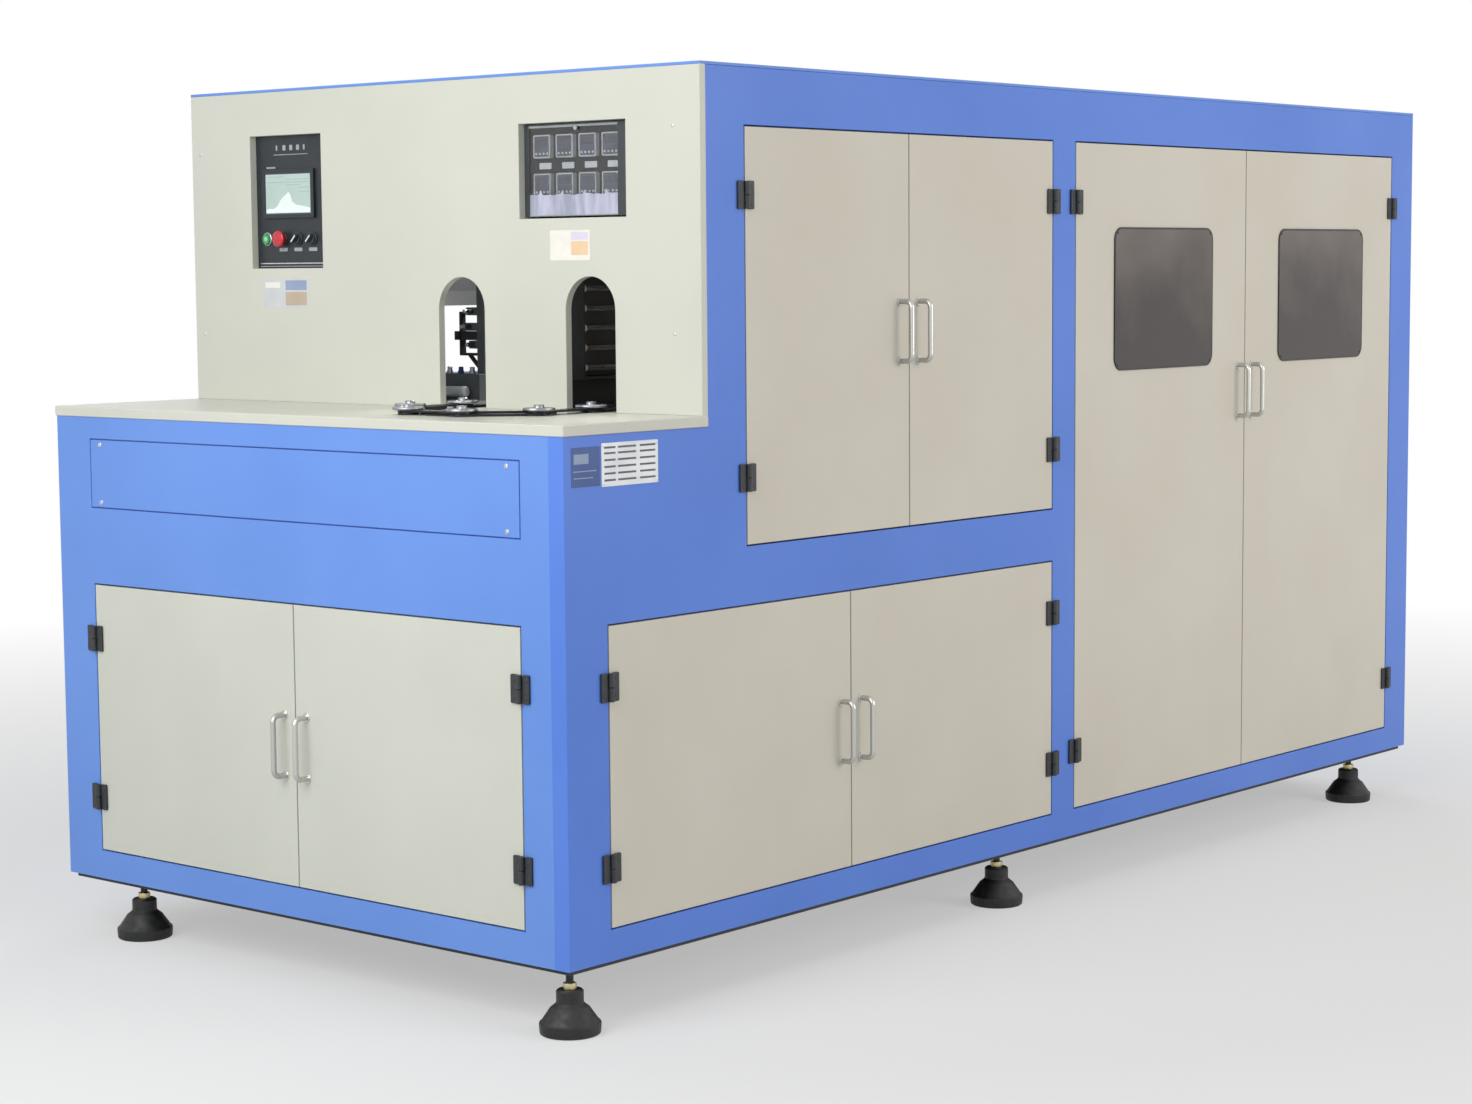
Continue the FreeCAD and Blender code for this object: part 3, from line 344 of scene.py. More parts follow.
plain, nylon, metal = {"IOR": 1.5}, {"IOR": 1.53}, {"Metallic": 1.0}
paint, glossy = ({"IOR": 1.5, "Coat Weight": weight} for weight in (0.1, 0.3))
blueSkin, beigeSkin = [(240, 0.5), (6, 0.012)], [(260, 0.5), (6, 0.012)]
finishes = {
    # semi-gloss powder coat on folded sheet: a faint orange peel, drawn at 6 mm so that it shows
    "bluePowderCoat": ("#6996E8", "#6390E2", 420, (0.34, 0.42), blueSkin, paint),
    # the same coat on the long side, darkened as painted shade
    "shadedSideBluePowderCoat": ("#5886E6", "#5180E0", 420, (0.34, 0.42), blueSkin, paint),
    # the grey of the upright panel, the worktop and the front doors leans to green
    "greyBeigePowderCoat": ("#D3D5CB", "#CED0C6", 380, (0.36, 0.44), beigeSkin, paint),
    # and that of the long side's doors leans to yellow
    "beigePowderCoat": ("#D7D3C7", "#D2CEC0", 380, (0.36, 0.44), beigeSkin, paint),
    # zinc-phosphate primer on the insides of the sheets: dead matt
    "greyPrimer": ("#8F9294", "#86898B", 90, (0.75, 0.85), [(4, 0.02)], plain),
    # satin enamel on the hidden base frame, darker and duller than the cabinet
    "blackEnamel": ("#23262B", "#1C1E22", 120, (0.42, 0.55), [(5, 0.02)], plain),
    # glass-filled nylon, moulded: a fine pebble that breaks up the highlights
    "mouldedNylon": ("#2B2F33", "#24282B", 30, (0.45, 0.58), [(1.6, 0.03)], nylon),
    # moulded rubber with dust in its grain
    "mouldedRubber": ("#0E0F11", "#17181A", 26, (0.45, 0.65), [(3, 0.06)], {"IOR": 1.52}),
    # yellow chromate on zinc plate: a pale gold with cloudy patches
    "yellowZinc": ("#D8C98E", "#C9C0A6", 14, (0.28, 0.45), [(2, 0.01)], metal),
    # clear-passivated zinc on small screws and trim rings: bright, slightly cloudy
    "brightZinc": ("#CFD3D8", "#BCC1C7", 12, (0.22, 0.38), [(2, 0.008)], metal),
    # drawn bar in stainless steel, brushed along its length
    "brushedStainless": ("#C9C9C6", "#B9B9B7", 60, (0.2, 0.3), [(1.5, 0.01)], metal, (1, 1, 0.08)),
    # steel plate, ground: dull grey with long scratches
    "groundSteel": ("#A9ACB0", "#989CA1", 90, (0.3, 0.45), [(3, 0.02)], metal, (1, 0.15, 1)),
    # hard-chromed bar: the clearest mirror on the machine
    "hardChrome": ("#D9DBDE", "#CDD0D4", 50, (0.08, 0.14), [(8, 0.004)], metal),
    # turned steel rubbed by preforms: greyer than the bars, its highlights smeared
    "wornSteel": ("#A6A9AE", "#8E9297", 16, (0.26, 0.42), [(2, 0.015)], metal),
    # blackened steel with oil in its pores
    "oiledBlackSteel": ("#34373B", "#26282B", 24, (0.25, 0.45), [(2.5, 0.02)], {"Metallic": 0.8}),
    # milled aluminium of the moulds and housings, bead-blasted and anodised
    "anodisedAluminium": ("#C4C7CA", "#B9BDC1", 70, (0.34, 0.44), [(1.2, 0.01)], metal),
    # hot-dip zinc on the mounting plate: spangled grey
    "galvanised": ("#B4B9BC", "#A3A8AB", 22, (0.35, 0.5), [(6, 0.02)], metal),
    # turned brass of the water and air fittings, and plated copper under the terminals' screws
    "brassFitting": ("#CDB06A", "#BFA05A", 10, (0.22, 0.35), [(2, 0.008)], metal),
    "copperTerminal": ("#C98A5C", "#B77A50", 10, (0.25, 0.4), [(2, 0.01)], metal),
    # smoked sheet: brown-grey, with painted reflection in its colour: lighter above, darker towards its
    # lower edge, in large soft blotches
    "smokedAcrylicPaintedReflection": ("#7E7470", "#3D3633", 260, (0.1, 0.2), [(140, 0.25)],
                      {"IOR": 1.49, "Transmission Weight": 0.1}, None, (1.25, 1.62)),
    "smokedTrim": ("#33302F", "#2A2726", 60, (0.3, 0.4), [(2, 0.01)], {"IOR": 1.49}),
    # clear sheet with an anti-glare face, so the instruments behind it stay dark
    "clearAcrylic": ("#F6F7F8", "#F0F2F4", 120, (0.02, 0.05), [(160, 0.1)],
                     {"IOR": 1.49, "Transmission Weight": 1.0, "Specular IOR Level": 0.05}),
    # painted reflection on the lower part of the flap: a thin milky sheet, with streaks down it
    "paintedReflection": ("#D6D6EE", "#A9B0C4", 22, (0.2, 0.35), [(18, 0.15)],
                       {"IOR": 1.45, "Alpha": 0.8}, (1, 1, 0.16)),
    # drawn quartz tube, faintly wavy, and the chalky white steatite ends of the lamps
    "quartzTube": ("#F1F1EE", "#E6E6E2", 30, (0.04, 0.1), [(30, 0.05)],
                   {"IOR": 1.46, "Transmission Weight": 0.9}),
    "firedCeramic": ("#DAD6CC", "#CFCABF", 18, (0.5, 0.65), [(2, 0.02)], {"IOR": 1.6}),
    # anodised front plate behind the controls: slate grey, satin
    "slatePlate": ("#1D242A", "#252A2F", 70, (0.36, 0.5), [(1.5, 0.01)], plain),
    # the plate behind the instruments, dead matt
    "mattBlackPlate": ("#0C0F11", "#121518", 60, (0.65, 0.8), [(1.5, 0.01)],
                       {"IOR": 1.5, "Specular IOR Level": 0.2}),
    # moulded plastics of the housings and trims: a fine even grain
    "mouldedHousing": ("#34393F", "#2D3237", 40, (0.4, 0.5), [(1.4, 0.02)], nylon),
    "blueNylon": ("#2D4FA5", "#284794", 20, (0.35, 0.45), [(1.5, 0.01)], nylon),
    "deviceGrey": ("#C9CCCC", "#BFC2C2", 40, (0.4, 0.5), [(1.6, 0.02)], plain),
    "greyTrim": ("#A9AEB2", "#9CA1A6", 40, (0.35, 0.45), [(1.5, 0.01)], plain),
    "paleTrim": ("#C6CACC", "#BABFC2", 40, (0.3, 0.4), [(1.5, 0.01)], plain),
    "whiteLaminate": ("#F4F1EC", "#ECE9E4", 40, (0.4, 0.5), [(2, 0.01)], plain),
    # moulded faces of the small instruments, a cool blue-grey behind the flap
    "meterFace": ("#4C5266", "#3A3F4C", 26, (0.3, 0.42), [(1.5, 0.01)], nylon),
    "displayGlass": ("#3B4152", "#343A48", 30, (0.08, 0.14), [(60, 0.05)],
                     {"IOR": 1.52, "Coat Weight": 0.5}),
    # pushes moulded in gloss plastic
    "greenPush": ("#2FA45C", "#28964F", 20, (0.2, 0.3), [(2, 0.01)], glossy),
    "redPush": ("#C9242C", "#B91E27", 20, (0.2, 0.3), [(2, 0.01)], glossy),
    "paleGreenLens": ("#A8D8B8", "#9CD0AE", 10, (0.15, 0.25), [(3, 0.01)], plain),
    # sand-cast housings with a thin grey paint: pitted
    "castGrey": ("#63686B", "#575C5F", 40, (0.45, 0.6), [(3, 0.08)], plain),
}
# printed film on the plates: flat, with a satin sheen
inks = {"blueLabel": ("#44619F", "#3B5896"), "paleBlueLabel": ("#98A8C6", "#8FA0BF"),
        "tanLabel": ("#C4B4A3", "#BCAA97"), "orangeLabel": ("#F0D2AE", "#E9C8A0"),
        "paleGreyLabel": ("#D4D7DB", "#CBCFD4"), "lilacLabel": ("#E2D8EC", "#DAD0E6")}
for name, shades in inks.items():
    finishes[name] = (*shades, 60, (0.3, 0.4), [(4, 0.005)], plain)
# lit display behind its cover: a pale green-grey field, its bright part and its dark lines
lit = {"screenGlow": ("#AFC6BE", "#B6CAC6", 50, (0.55, 0.75, 0.66, 1), 0.06),
       "screenPale": ("#DDE8E6", "#E4E9F0", 40, (0.8, 0.92, 0.95, 1), 0.14),
       "screenLine": ("#9DB4B2", "#A5BBB8", 50, (0.3, 0.45, 0.4, 1), 0.04)}
for name, (colour, shade, blotch, emission, strength) in lit.items():
    sockets = {"IOR": 1.5, "Emission Color": emission, "Emission Strength": strength}
    finishes[name] = (colour, shade, blotch, (0.12, 0.2), [(60, 0.02)], sockets)
finish = {name: makeFinish(name, *look) for name, look in finishes.items()}
print("finishes made:", len(finish))

# Carried-over nodes keep their shape and get softened edges, by width in millimetres.

carried = {"top_cover": ("bluePowderCoat", 0.8), "base_frame": ("blackEnamel", 2.0),
           "instrument_plate": ("mattBlackPlate", 0.6), "oven_deck": ("groundSteel", 0.8),
           # painted shade: the lamp bank takes the black enamel so that the right chain opening shows dark
           "lamp_bank": ("blackEnamel", 0.6), "chain_guide": ("oiledBlackSteel", 1.0),
           "air_valves": ("castGrey", 1.5), "clamp_frame": ("blackEnamel", 2.5)}

for node, (look, width) in carried.items():
    part = frame["nodes"][node]
    part.data.materials.clear()
    part.data.materials.append(finish[look])
    part.modifiers.new("weld", "WELD").merge_threshold = 0.00001
    bevel = part.modifiers.new("softEdge", "BEVEL")
    bevel.width = width / 1000
    bevel.segments = 2
    bevel.limit_method = "ANGLE"
    bevel.angle_limit = radians(40)
    bevel.harden_normals = True
    part.modifiers.new("faceNormals", "WEIGHTED_NORMAL").keep_sharp = True
print("carried nodes finished")

leftFace = span("left_cover")[0].x
backFace = span("rear_cover")[1].y
tallFront, worktopTop = span("worktop")[1].yz
faces = {"front": facing("front", 0, span("front_frame")[0].y),
         "panel": facing("front", 0, span("upright_panel")[0].y),
         "right": facing("right", span("right_side_frame")[1].x)}
frontFace, rightFace = faces["front"].translation.y, faces["right"].translation.x

# Doors: folded leaves, moulded hinges, bow handles and smoked windows.

door = {"sheet": 2.0, "depth": 20.0, "fold": 1.6, "gap": 3.0, "seal": 9.0, "sealIn": 4.0, "sealTall": 8.0}
hinge = {"wide": 25.0, "tall": 57.0, "thick": 5.0, "barrel": 6.5, "out": 7.0, "corner": 3.0, "near": 40.0,
         "split": 0.4, "end": 0.6, "bevel": 0.9, "cap": ((4.6, -0.5), (4.6, 0.3), (4.0, 0.8), (0, 1.0)),
         "capAcross": 16.5, "capUp": 17.0}
handle = {"half": 64.0, "reach": 32.0, "bar": 6.0, "bend": 14.0,
          "foot": ((10.0, 0), (10.0, 1.5), (9.0, 2.5), (0, 2.5))}
window = {"lap": 18.0, "cutRadius": 16.0, "cornerRadius": 30.0, "pane": (0.2, 3.0), "rim": 5.0,
          "rimProud": 3.4, "screwIn": 13.0, "screw": (3.0, 1.6), "screwSeat": 2.6}


def hingeLeaf(bm, at, toward, upper):
    # one half of a hinge: plate, web and its half of the knuckle
    half, barrel, bevel = hinge["tall"] / 2, hinge["barrel"], hinge["bevel"]
    near, far = toward * (barrel + 1), toward * hinge["wide"]
    outline = softRect(min(near, far), max(near, far), -half, half, hinge["corner"], 4)
    plate(bm, outline, 0, hinge["thick"], at, 1.1)
    low, high = (hinge["split"], half - hinge["end"]) if upper else (hinge["end"] - half, -hinge["split"])
    web = softRect(min(0, near * 1.3), max(0, near * 1.3), low, high, 1.5, 3)
    plate(bm, web, 0.2, hinge["thick"] - 0.2, at, 0.8)
    upright = moved(at, 0, 0, hinge["out"]) @ Matrix.Rotation(-pi / 2, 4, "X")
    lathe(bm, bar(barrel, low, high, bevel), upright, 28)
    for up in (-1, 1):
        spot = moved(at, toward * hinge["capAcross"], up * hinge["capUp"], hinge["thick"])
        lathe(bm, hinge["cap"], spot, 24)


hingeSpots = [(low + high) / 2 for low, high in solidSpans("frame_hinges")]
doorways = {"front": [], "right": []}
frameHalves = bmesh.new()
joints = {joint["child"]: joint for joint in frame["joints"]}
for pair in ("front_door", "lower_door", "upper_door", "tall_door"):
    side, across = ("front", 0) if pair == "front_door" else ("right", 1)
    place = faces[side]
    for hand, toward in (("left", 1), ("right", -1)):
        body = pair + "_" + hand
        short = body.replace("_", "")
        low, high = span(body)
        axis = (Vector(joints[body]["pos_m"]) * 1000)[across]
        near = axis + toward * door["gap"] / 2
        far = (high if toward > 0 else low)[across]
        u0, u1 = min(near, far), max(near, far)
        sheet = door["sheet"]
        doorways[side].append((axis - toward * door["gap"] / 2, low.z - door["gap"], high.z + door["gap"]))
        loops = [(rect(u0, u1, low.z, high.z), foldRings(sheet, door["depth"], door["fold"])[::-1])]
        if pair == "tall_door":
            paneLow, paneHigh = span(body + "_window")
            p0, p1, q0, q1 = paneLow[across], paneHigh[across], paneLow.z, paneHigh.z
            lap = window["lap"]
            cut = softRect(p0 + lap, p1 - lap, q0 + lap, q1 - lap, window["cutRadius"], 6)
            loops.append((cut, [(0, 0), (0, -sheet)]))
        leaf = bmesh.new()
        loft(leaf, loops, place)
        # rubber seal round the inside of the leaf
        back = sheet + door["sealIn"]
        seal = rect(u0 + back, u1 - back, low.z + back, high.z - back)
        plate(leaf, seal, -sheet - door["sealTall"], -sheet, place, 1.5, [inset(seal, door["seal"])], 1)
        coat = "greyBeigePowderCoat" if side == "front" else "beigePowderCoat"
        makePiece(short + "Leaf", body, leaf, [coat, "mouldedRubber"], [body])
        halves = bmesh.new()
        for spot in hingeSpots:
            offSide = abs(spot.y - frontFace) if side == "front" else abs(spot.x - rightFace)
            if max(offSide, abs(spot[across] - axis)) < hinge["near"] and low.z < spot.z < high.z:
                at = moved(place, axis, spot.z)
                hingeLeaf(halves, at, toward, True)
                hingeLeaf(frameHalves, at, -toward, False)
        makePiece(short + "Hinges", body, halves, ["mouldedNylon"])

        gripLow, gripHigh = span(body + "_handle")
        middle, height = ((gripLow + gripHigh) / 2)[across], (gripLow.z + gripHigh.z) / 2
        half, reach = handle["half"], handle["reach"]
        bow = [(0, -half), (reach, -half), (reach, half), (0, half)]
        bent = rounded(bow, handle["bend"], 6, closed=False)
        grip = bmesh.new()
        rod(grip, [place @ Vector((middle, height + v, w)) for w, v in bent], handle["bar"], 20)
        for up in (-1, 1):
            lathe(grip, handle["foot"], moved(place, middle, height + up * half), 32)
        makePiece(short + "Handle", body, grip, ["brushedStainless"], [body + "_handle"])

        if pair == "tall_door":
            # smoked pane whose colour carries painted reflection, with its rim and screws
            pane = bmesh.new()
            outline = softRect(p0, p1, q0, q1, window["cornerRadius"], 8)
            plate(pane, outline, *window["pane"], place, 0.6)
            plate(pane, outline, 0, window["rimProud"], place, 1.0, [inset(outline, window["rim"])], 1)
            back = window["screwIn"]
            for du in (back, p1 - p0 - back):
                for dv in (back, q1 - q0 - back):
                    spot = moved(place, p0 + du, q0 + dv, window["screwSeat"])
                    screwHead(pane, spot, *window["screw"], 2)
            makePiece(short + "Window", body, pane, ["smokedAcrylicPaintedReflection", "smokedTrim", "oiledBlackSteel"],
                      [body + "_window"])
makePiece("frameHinges", "machine", frameHalves, ["mouldedNylon"], ["frame_hinges"])
print("doors made")

# Levelling feet: a moulded rubber pad with a tall rim, a plated nut and a threaded stud.

foot = ((0, 1.5), (45, 1.5), (47, 0), (57, 0), (59.5, 2), (60, 5), (61, 20), (60, 23), (57, 25), (39, 51),
        (31, 57), (27.5, 61), (27, 65), (27, 84), (24, 87), (9, 87), (0, 83))
stud = {"radius": 8.0, "pitch": 2.5, "thread": 0.7, "nut": 14.0, "nutTall": 13.0}

pads = bmesh.new()
studs = bmesh.new()
for low, high in solidSpans("foot_pads"):
    lathe(pads, foot, standing(low, high, 0), 64)
makePiece("footPads", "machine", pads, ["mouldedRubber"], ["foot_pads"])

for low, high in solidSpans("foot_studs"):
    at = standing(low, high, 0)
    w = low.z + stud["nutTall"]
    plate(studs, circle(stud["nut"], steps=6, start=pi / 6), low.z, w, at, 1.2)
    root = stud["radius"] - stud["thread"]
    profile = [(0, w - 1), (root, w - 1)]
    while w < high.z - stud["pitch"]:
        profile += [(root, w), (stud["radius"], w + stud["pitch"] * 0.5)]
        w += stud["pitch"]
    lathe(studs, profile + [(root, w), (root, high.z), (0, high.z)], at, 32, 1)
makePiece("footStuds", "machine", studs, ["yellowZinc", "oiledBlackSteel"], ["foot_studs"], 60)
print("feet made")

# Cabinet: folded sheets whose folds are rounded only where a corner of the machine shows.

cabinet = {"sheet": 2.5, "depth": 40.0, "fold": 2.2, "holeFold": 1.4}
outlet = {"start": 1000.0, "length": 400.0, "rise": 36.0, "height": 190.0, "strip": (22.0, 14.0),
          "stripIn": 4.0, "stripDepth": (3.0, 0.4)}
coverPlate = {"gap": 2.5, "depth": 8.0, "sheet": 2.0, "rim": 35.0, "fold": 1.0, "screw": (5.5, 2.4),
              "screwIn": (33.0, 10.5), "screwSeat": -0.3}
# the rim's entries are its inset, 0 for the underside or 1 for the top, and the height from there
worktop = {"round": 4.0, "rim": ((1.5, 0, 0), (0, 0, 1.5), (0, 1, -3), (0.4, 1, -1.5), (1.5, 1, -0.4),
                                 (3, 1, 0))}


def doorwayOf(spots):
    return rect(min(s[0] for s in spots), max(s[0] for s in spots), spots[0][1], spots[0][2])


sheet, depth = cabinet["sheet"], cabinet["depth"]
sideLow, sideHigh = span("right_side_frame")
counterTop = span("front_frame")[1].z
stepped = [(frontFace, sideLow.z), (backFace, sideLow.z), (backFace, sideHigh.z), (tallFront, sideHigh.z),
           (tallFront, counterTop), (frontFace, counterTop)]
outer, square = foldRings(sheet, depth, cabinet["fold"]), foldRings(sheet, depth, 0)
aroundHole = foldRings(sheet, depth, cabinet["holeFold"])

rightSheet = bmesh.new()
spots = doorways["right"]
holes = [(doorwayOf(spots[k:k + 2]), aroundHole) for k in range(0, len(spots), 2)]
loft(rightSheet, [(stepped, outer)] + holes, faces["right"], lining=1)
# the long side's sheet takes the blue darkened as painted shade
makePiece("rightSideSheet", "machine", rightSheet, ["shadedSideBluePowderCoat", "greyPrimer"],
          ["right_side_frame"])

leftSheet = bmesh.new()
start, bottom = frontFace + outlet["start"], worktopTop + outlet["rise"]
top = bottom + outlet["height"]
u0, u1 = -(start + outlet["length"]), -start
at = facing("left", leftFace)
outline = [(-y, z) for y, z in stepped]
loft(leftSheet, [(outline, outer), (rect(u0, u1, bottom, top), aroundHole)], at, lining=1)
# stiffening strip along the top of the outlet, on the sheet's inside
(under, over), back = outlet["strip"], outlet["stripIn"]
w0, w1 = (-depth - deep for deep in outlet["stripDepth"])
plate(leftSheet, rect(u0 + back, u1 - back, top - under, top + over), w0, w1, at, 0.6, material=1)
makePiece("leftCoverSheet", "machine", leftSheet, ["bluePowderCoat", "greyPrimer"], ["left_cover"])

low, high = span("rear_cover")
rearSheet = bmesh.new()
loft(rearSheet, [(rect(-high.x, -low.x, low.z, high.z), square)], facing("rear", 0, backFace), lining=1)
makePiece("rearCoverSheet", "machine", rearSheet, ["bluePowderCoat", "greyPrimer"], ["rear_cover"])

low, high = span("front_frame")
plateLow, plateHigh = span("front_cover_plate")
plateOutline = rect(plateLow.x, plateHigh.x, plateLow.z, plateHigh.z)
gap, deep = coverPlate["gap"], coverPlate["depth"]
well = rect(plateLow.x - gap, plateHigh.x + gap, plateLow.z - gap, plateHigh.z + gap)
lip = -(gap + coverPlate["rim"])
wellRings = [(sheet, -sheet), (sheet, -deep - sheet), (lip, -deep - sheet), (lip, -deep), (0, -deep),
             (0, -0.8), (0.3, -0.2), (0.8, 0)]
frontSheet = bmesh.new()
loft(frontSheet, [(rect(low.x, high.x, low.z, high.z), square), (doorwayOf(doorways["front"]), aroundHole),
                  (well, wellRings)], faces["front"], lining=1)
makePiece("frontSheet", "machine", frontSheet, ["bluePowderCoat", "greyPrimer"], ["front_frame"])

frontPlate = bmesh.new()
loft(frontPlate, [(plateOutline, foldRings(coverPlate["sheet"], deep, coverPlate["fold"]))], faces["front"])
across, upDown = coverPlate["screwIn"]
for x in (plateLow.x + across, plateHigh.x - across):
    for z in (plateLow.z + upDown, plateHigh.z - upDown):
        spot = moved(faces["front"], x, z, coverPlate["screwSeat"])
        screwHead(frontPlate, spot, *coverPlate["screw"], 1)
makePiece("frontCoverPlate", "machine", frontPlate, ["bluePowderCoat", "brightZinc"],
          ["front_cover_plate"])

# one folded top with a rounded rim
low, high = span("worktop")
top = bmesh.new()
rim = [(back, (low.z, high.z)[end] + up) for back, end, up in worktop["rim"]]
loft(top, [(rounded(rect(low.x, high.x, low.y, high.y), worktop["round"], 4), rim)], Matrix())
makePiece("worktopSheet", "machine", top, ["greyBeigePowderCoat"], ["worktop"])

# Upright panel with its two recesses and two round-topped chain openings.

panel = {"sheet": 2.0, "return": 17.0, "fold": 1.3, "archWidth": 138.0, "archHeight": 278.0,
         "archSteps": 28, "lap": 2.0, "recesses": {"screen_plate": 18.0, "instrument_plate": 36.0},
         "screw": (4.0, 1.6), "screwSeat": -0.2,
         "screws": ((30.0, 1741.0), (30.0, 1330.0), (1478.0, 1756.0), (1479.0, 1342.0))}
chain = {"apart": 374.0, "pockets": 8, "straight": 6, "linkHalf": 22.0, "waist": 17.0, "linkThick": 5.0,
         "flange": 33.0, "flangeThick": 6.0, "mandrel": 10.6, "mandrelHeight": 6.0}
wheelLow, wheelHigh = span("chain_wheel")
loopX, wheelY = (wheelLow.x + wheelHigh.x) / 2, (wheelLow.y + wheelHigh.y) / 2

low, high = span("upright_panel")
outline = [(low.x, low.z)]
half, steps = panel["archWidth"] / 2, panel["archSteps"]
spring = low.z + panel["archHeight"] - half
for middle in (loopX - chain["apart"] / 2, loopX + chain["apart"] / 2):
    turns = [pi - pi * k / steps for k in range(steps + 1)]
    outline += [(middle - half, low.z)] + [(middle + half * cos(a), spring + half * sin(a)) for a in turns]
    outline.append((middle + half, low.z))
outline += [(high.x, low.z), (high.x, high.z), (low.x, high.z)]
loops = [(outline, foldRings(panel["sheet"], panel["return"], panel["fold"]))]
recesses = {}
lap = panel["lap"]
for name, deep in panel["recesses"].items():
    low, high = span(name)
    recesses[name] = (low.x + lap, high.x - lap, low.z + lap, high.z - lap)
    loops.append((rect(*recesses[name]), foldRings(panel["sheet"], deep, panel["fold"])))
uprightPanel = bmesh.new()
loft(uprightPanel, loops, faces["panel"], lining=1)
for x, z in panel["screws"]:
    spot = moved(faces["panel"], leftFace + x, z, panel["screwSeat"])
    screwHead(uprightPanel, spot, *panel["screw"], 2)
makePiece("uprightPanelSheet", "machine", uprightPanel, ["greyBeigePowderCoat", "greyPrimer", "brightZinc"],
          ["upright_panel"])
print("cabinet made")

# Operator's controls: the screen's plate with trim rings, a touch screen, a green and a red
# push-button and two selectors.

controls = {"plateThick": 3.0, "slack": 0.3, "ring": 15.2, "ringHole": 12.8, "ringHeight": 4.0,
            "tagDrop": 24.0, "tag": (27.0, 8.0), "tagThick": 0.6, "strips": ((9.6, 2.8, 1), (3.6, 1.8, 3)),
            "stripIn": (11.0, 1.0), "markLeft": 60.0, "markRight": 174.0, "markUp": 269.7,
            "markWidths": (5.0, 10.0, 10.0, 10.0, 6.0), "markIn": 8.0, "markHalf": 6.0, "markThick": 0.5,
            "underline": (16.0, 14.4), "note": (35.0, 65.0, 2.0, 6.0)}
screen = {"border": 9.0, "depth": 6.0, "sink": 1.2, "shown": (151.0, 89.0), "layers": (0.25, 0.4),
          "lines": ((6, 4, 62), (12, 70, 146), (18, 4, 146), (24, 70, 120), (30, 110, 146), (40, 112, 146)),
          "curve": ((2, 9), (14, 12), (26, 11), (38, 16), (50, 30), (60, 38), (70, 43), (77, 49), (83, 42),
                    (90, 26), (104, 19), (124, 17), (149, 12))}
shank = 9.5
startPush = {"cap": ((shank, -12), (11.9, -12), (11.9, -1.2), (11.2, -0.3), (9.6, 0), (8.6, -0.5),
                     (0, -0.9)),
             "lens": ((0, -1), (5.6, -1), (5.4, -0.5), (0, -0.1))}
mushroomCap = ((shank, -22), (11.8, -22), (11.8, -8), (17, -8), (18.3, -6.6), (18.6, -4.6), (17.6, -2.2),
               (15, -0.8), (11.5, -0.2), (10.6, -0.6), (9.4, -0.7), (5, -0.1), (0, 0))
knob = {"cap": ((shank, -20), (11.9, -20), (11.9, -10.2), (11.3, -9.4), (0, -9.2)), "grip": (3.4, 11.3),
        "gripDepth": (-9.6, -0.15), "line": (1.5, -9.8, 10.1)}

low, high = span("screen_plate")
at = facing("front", 0, high.y - controls["plateThick"])
spots = {}
for name in ("start_button", "stop_button", "selector_1", "selector_2"):
    spots[name] = sum(span(name), Vector()) / 2
facePlate = bmesh.new()
holes = [circle(controls["ringHole"], p.x, p.z, 32) for p in spots.values()]
slack = controls["slack"]
outline = rect(low.x + slack, high.x - slack, low.z + slack, high.z - slack)
plate(facePlate, outline, -controls["plateThick"], 0, at, 0.5, holes)
for name, p in spots.items():
    r, h = controls["ring"], controls["ringHeight"]
    loft(facePlate, [(circle(r, steps=48), [(0, 0), (0, h - 1.6), (0.3, h - 0.6), (1.2, h)]),
                     (circle(controls["ringHole"], steps=48), [(0, 0), (0, h - 0.4), (0.4, h)])],
         moved(at, p.x, p.z), 1 if name == "start_button" else 2)
    if name != "start_button":
        wide, tall = (size / 2 for size in controls["tag"])
        drop = controls["tagDrop"]
        tag = softRect(p.x - wide, p.x + wide, p.z - drop - tall, p.z - drop + tall, 1.5, 3)
        plate(facePlate, tag, 0, controls["tagThick"], at, 0.2, material=3)
recessLeft, recessRight, recessLow, _ = recesses["screen_plate"]
for up, tall, look in controls["strips"]:
    strip = rect(recessLeft + controls["stripIn"][0], recessRight - controls["stripIn"][1], recessLow + up,
                 recessLow + up + tall)
    plate(facePlate, strip, 0, 3, at, 0.5, material=look)
# a row of plain marks over a line, and one more above the screen
u0, u1 = recessLeft + controls["markLeft"], recessLeft + controls["markRight"]
up = recessLow + controls["markUp"]
marks = []
for k, wide in enumerate(controls["markWidths"]):
    start = u0 + k * (u1 - u0) / len(controls["markWidths"]) + controls["markIn"]
    marks.append(softRect(start, start + wide, up - controls["markHalf"], up + controls["markHalf"], 2, 3))
marks.append(rect(u0, u1, *(up - drop for drop in controls["underline"])))
u0, u1, v0, v1 = controls["note"]
up = span("touch_screen")[1].z
marks.append(softRect(recessLeft + u0, recessLeft + u1, up + v0, up + v1, 1, 3))
for mark in marks:
    plate(facePlate, mark, 0, controls["markThick"], at, 0.15, material=3)
makePiece("screenPlate", "machine", facePlate, ["slatePlate", "brightZinc", "mouldedHousing", "greyTrim"],
          ["screen_plate"])

low, high = span("touch_screen")
touch = bmesh.new()
at = facing("front", 0, high.y)
border, glow = screen["border"], screen["depth"] - screen["sink"]
pane = softRect(low.x + border, high.x - border, low.z + border, high.z - border, 2, 4)
plate(touch, softRect(low.x, high.x, low.z, high.z, 3, 4), 0, screen["depth"], at, 0.9, [pane])
plate(touch, inset(pane, -0.4), 0.5, glow, at, material=1)
middle = (low + high) / 2
wide, tall = (size / 2 for size in screen["shown"])
u0, u1, v0, v1 = middle.x - wide, middle.x + wide, middle.z - tall, middle.z + tall
field, ink = (glow + layer for layer in screen["layers"])
plate(touch, rect(u0 + 1, u1 - 1, v0 + 1, v1 - 1), glow, field, at, material=2)
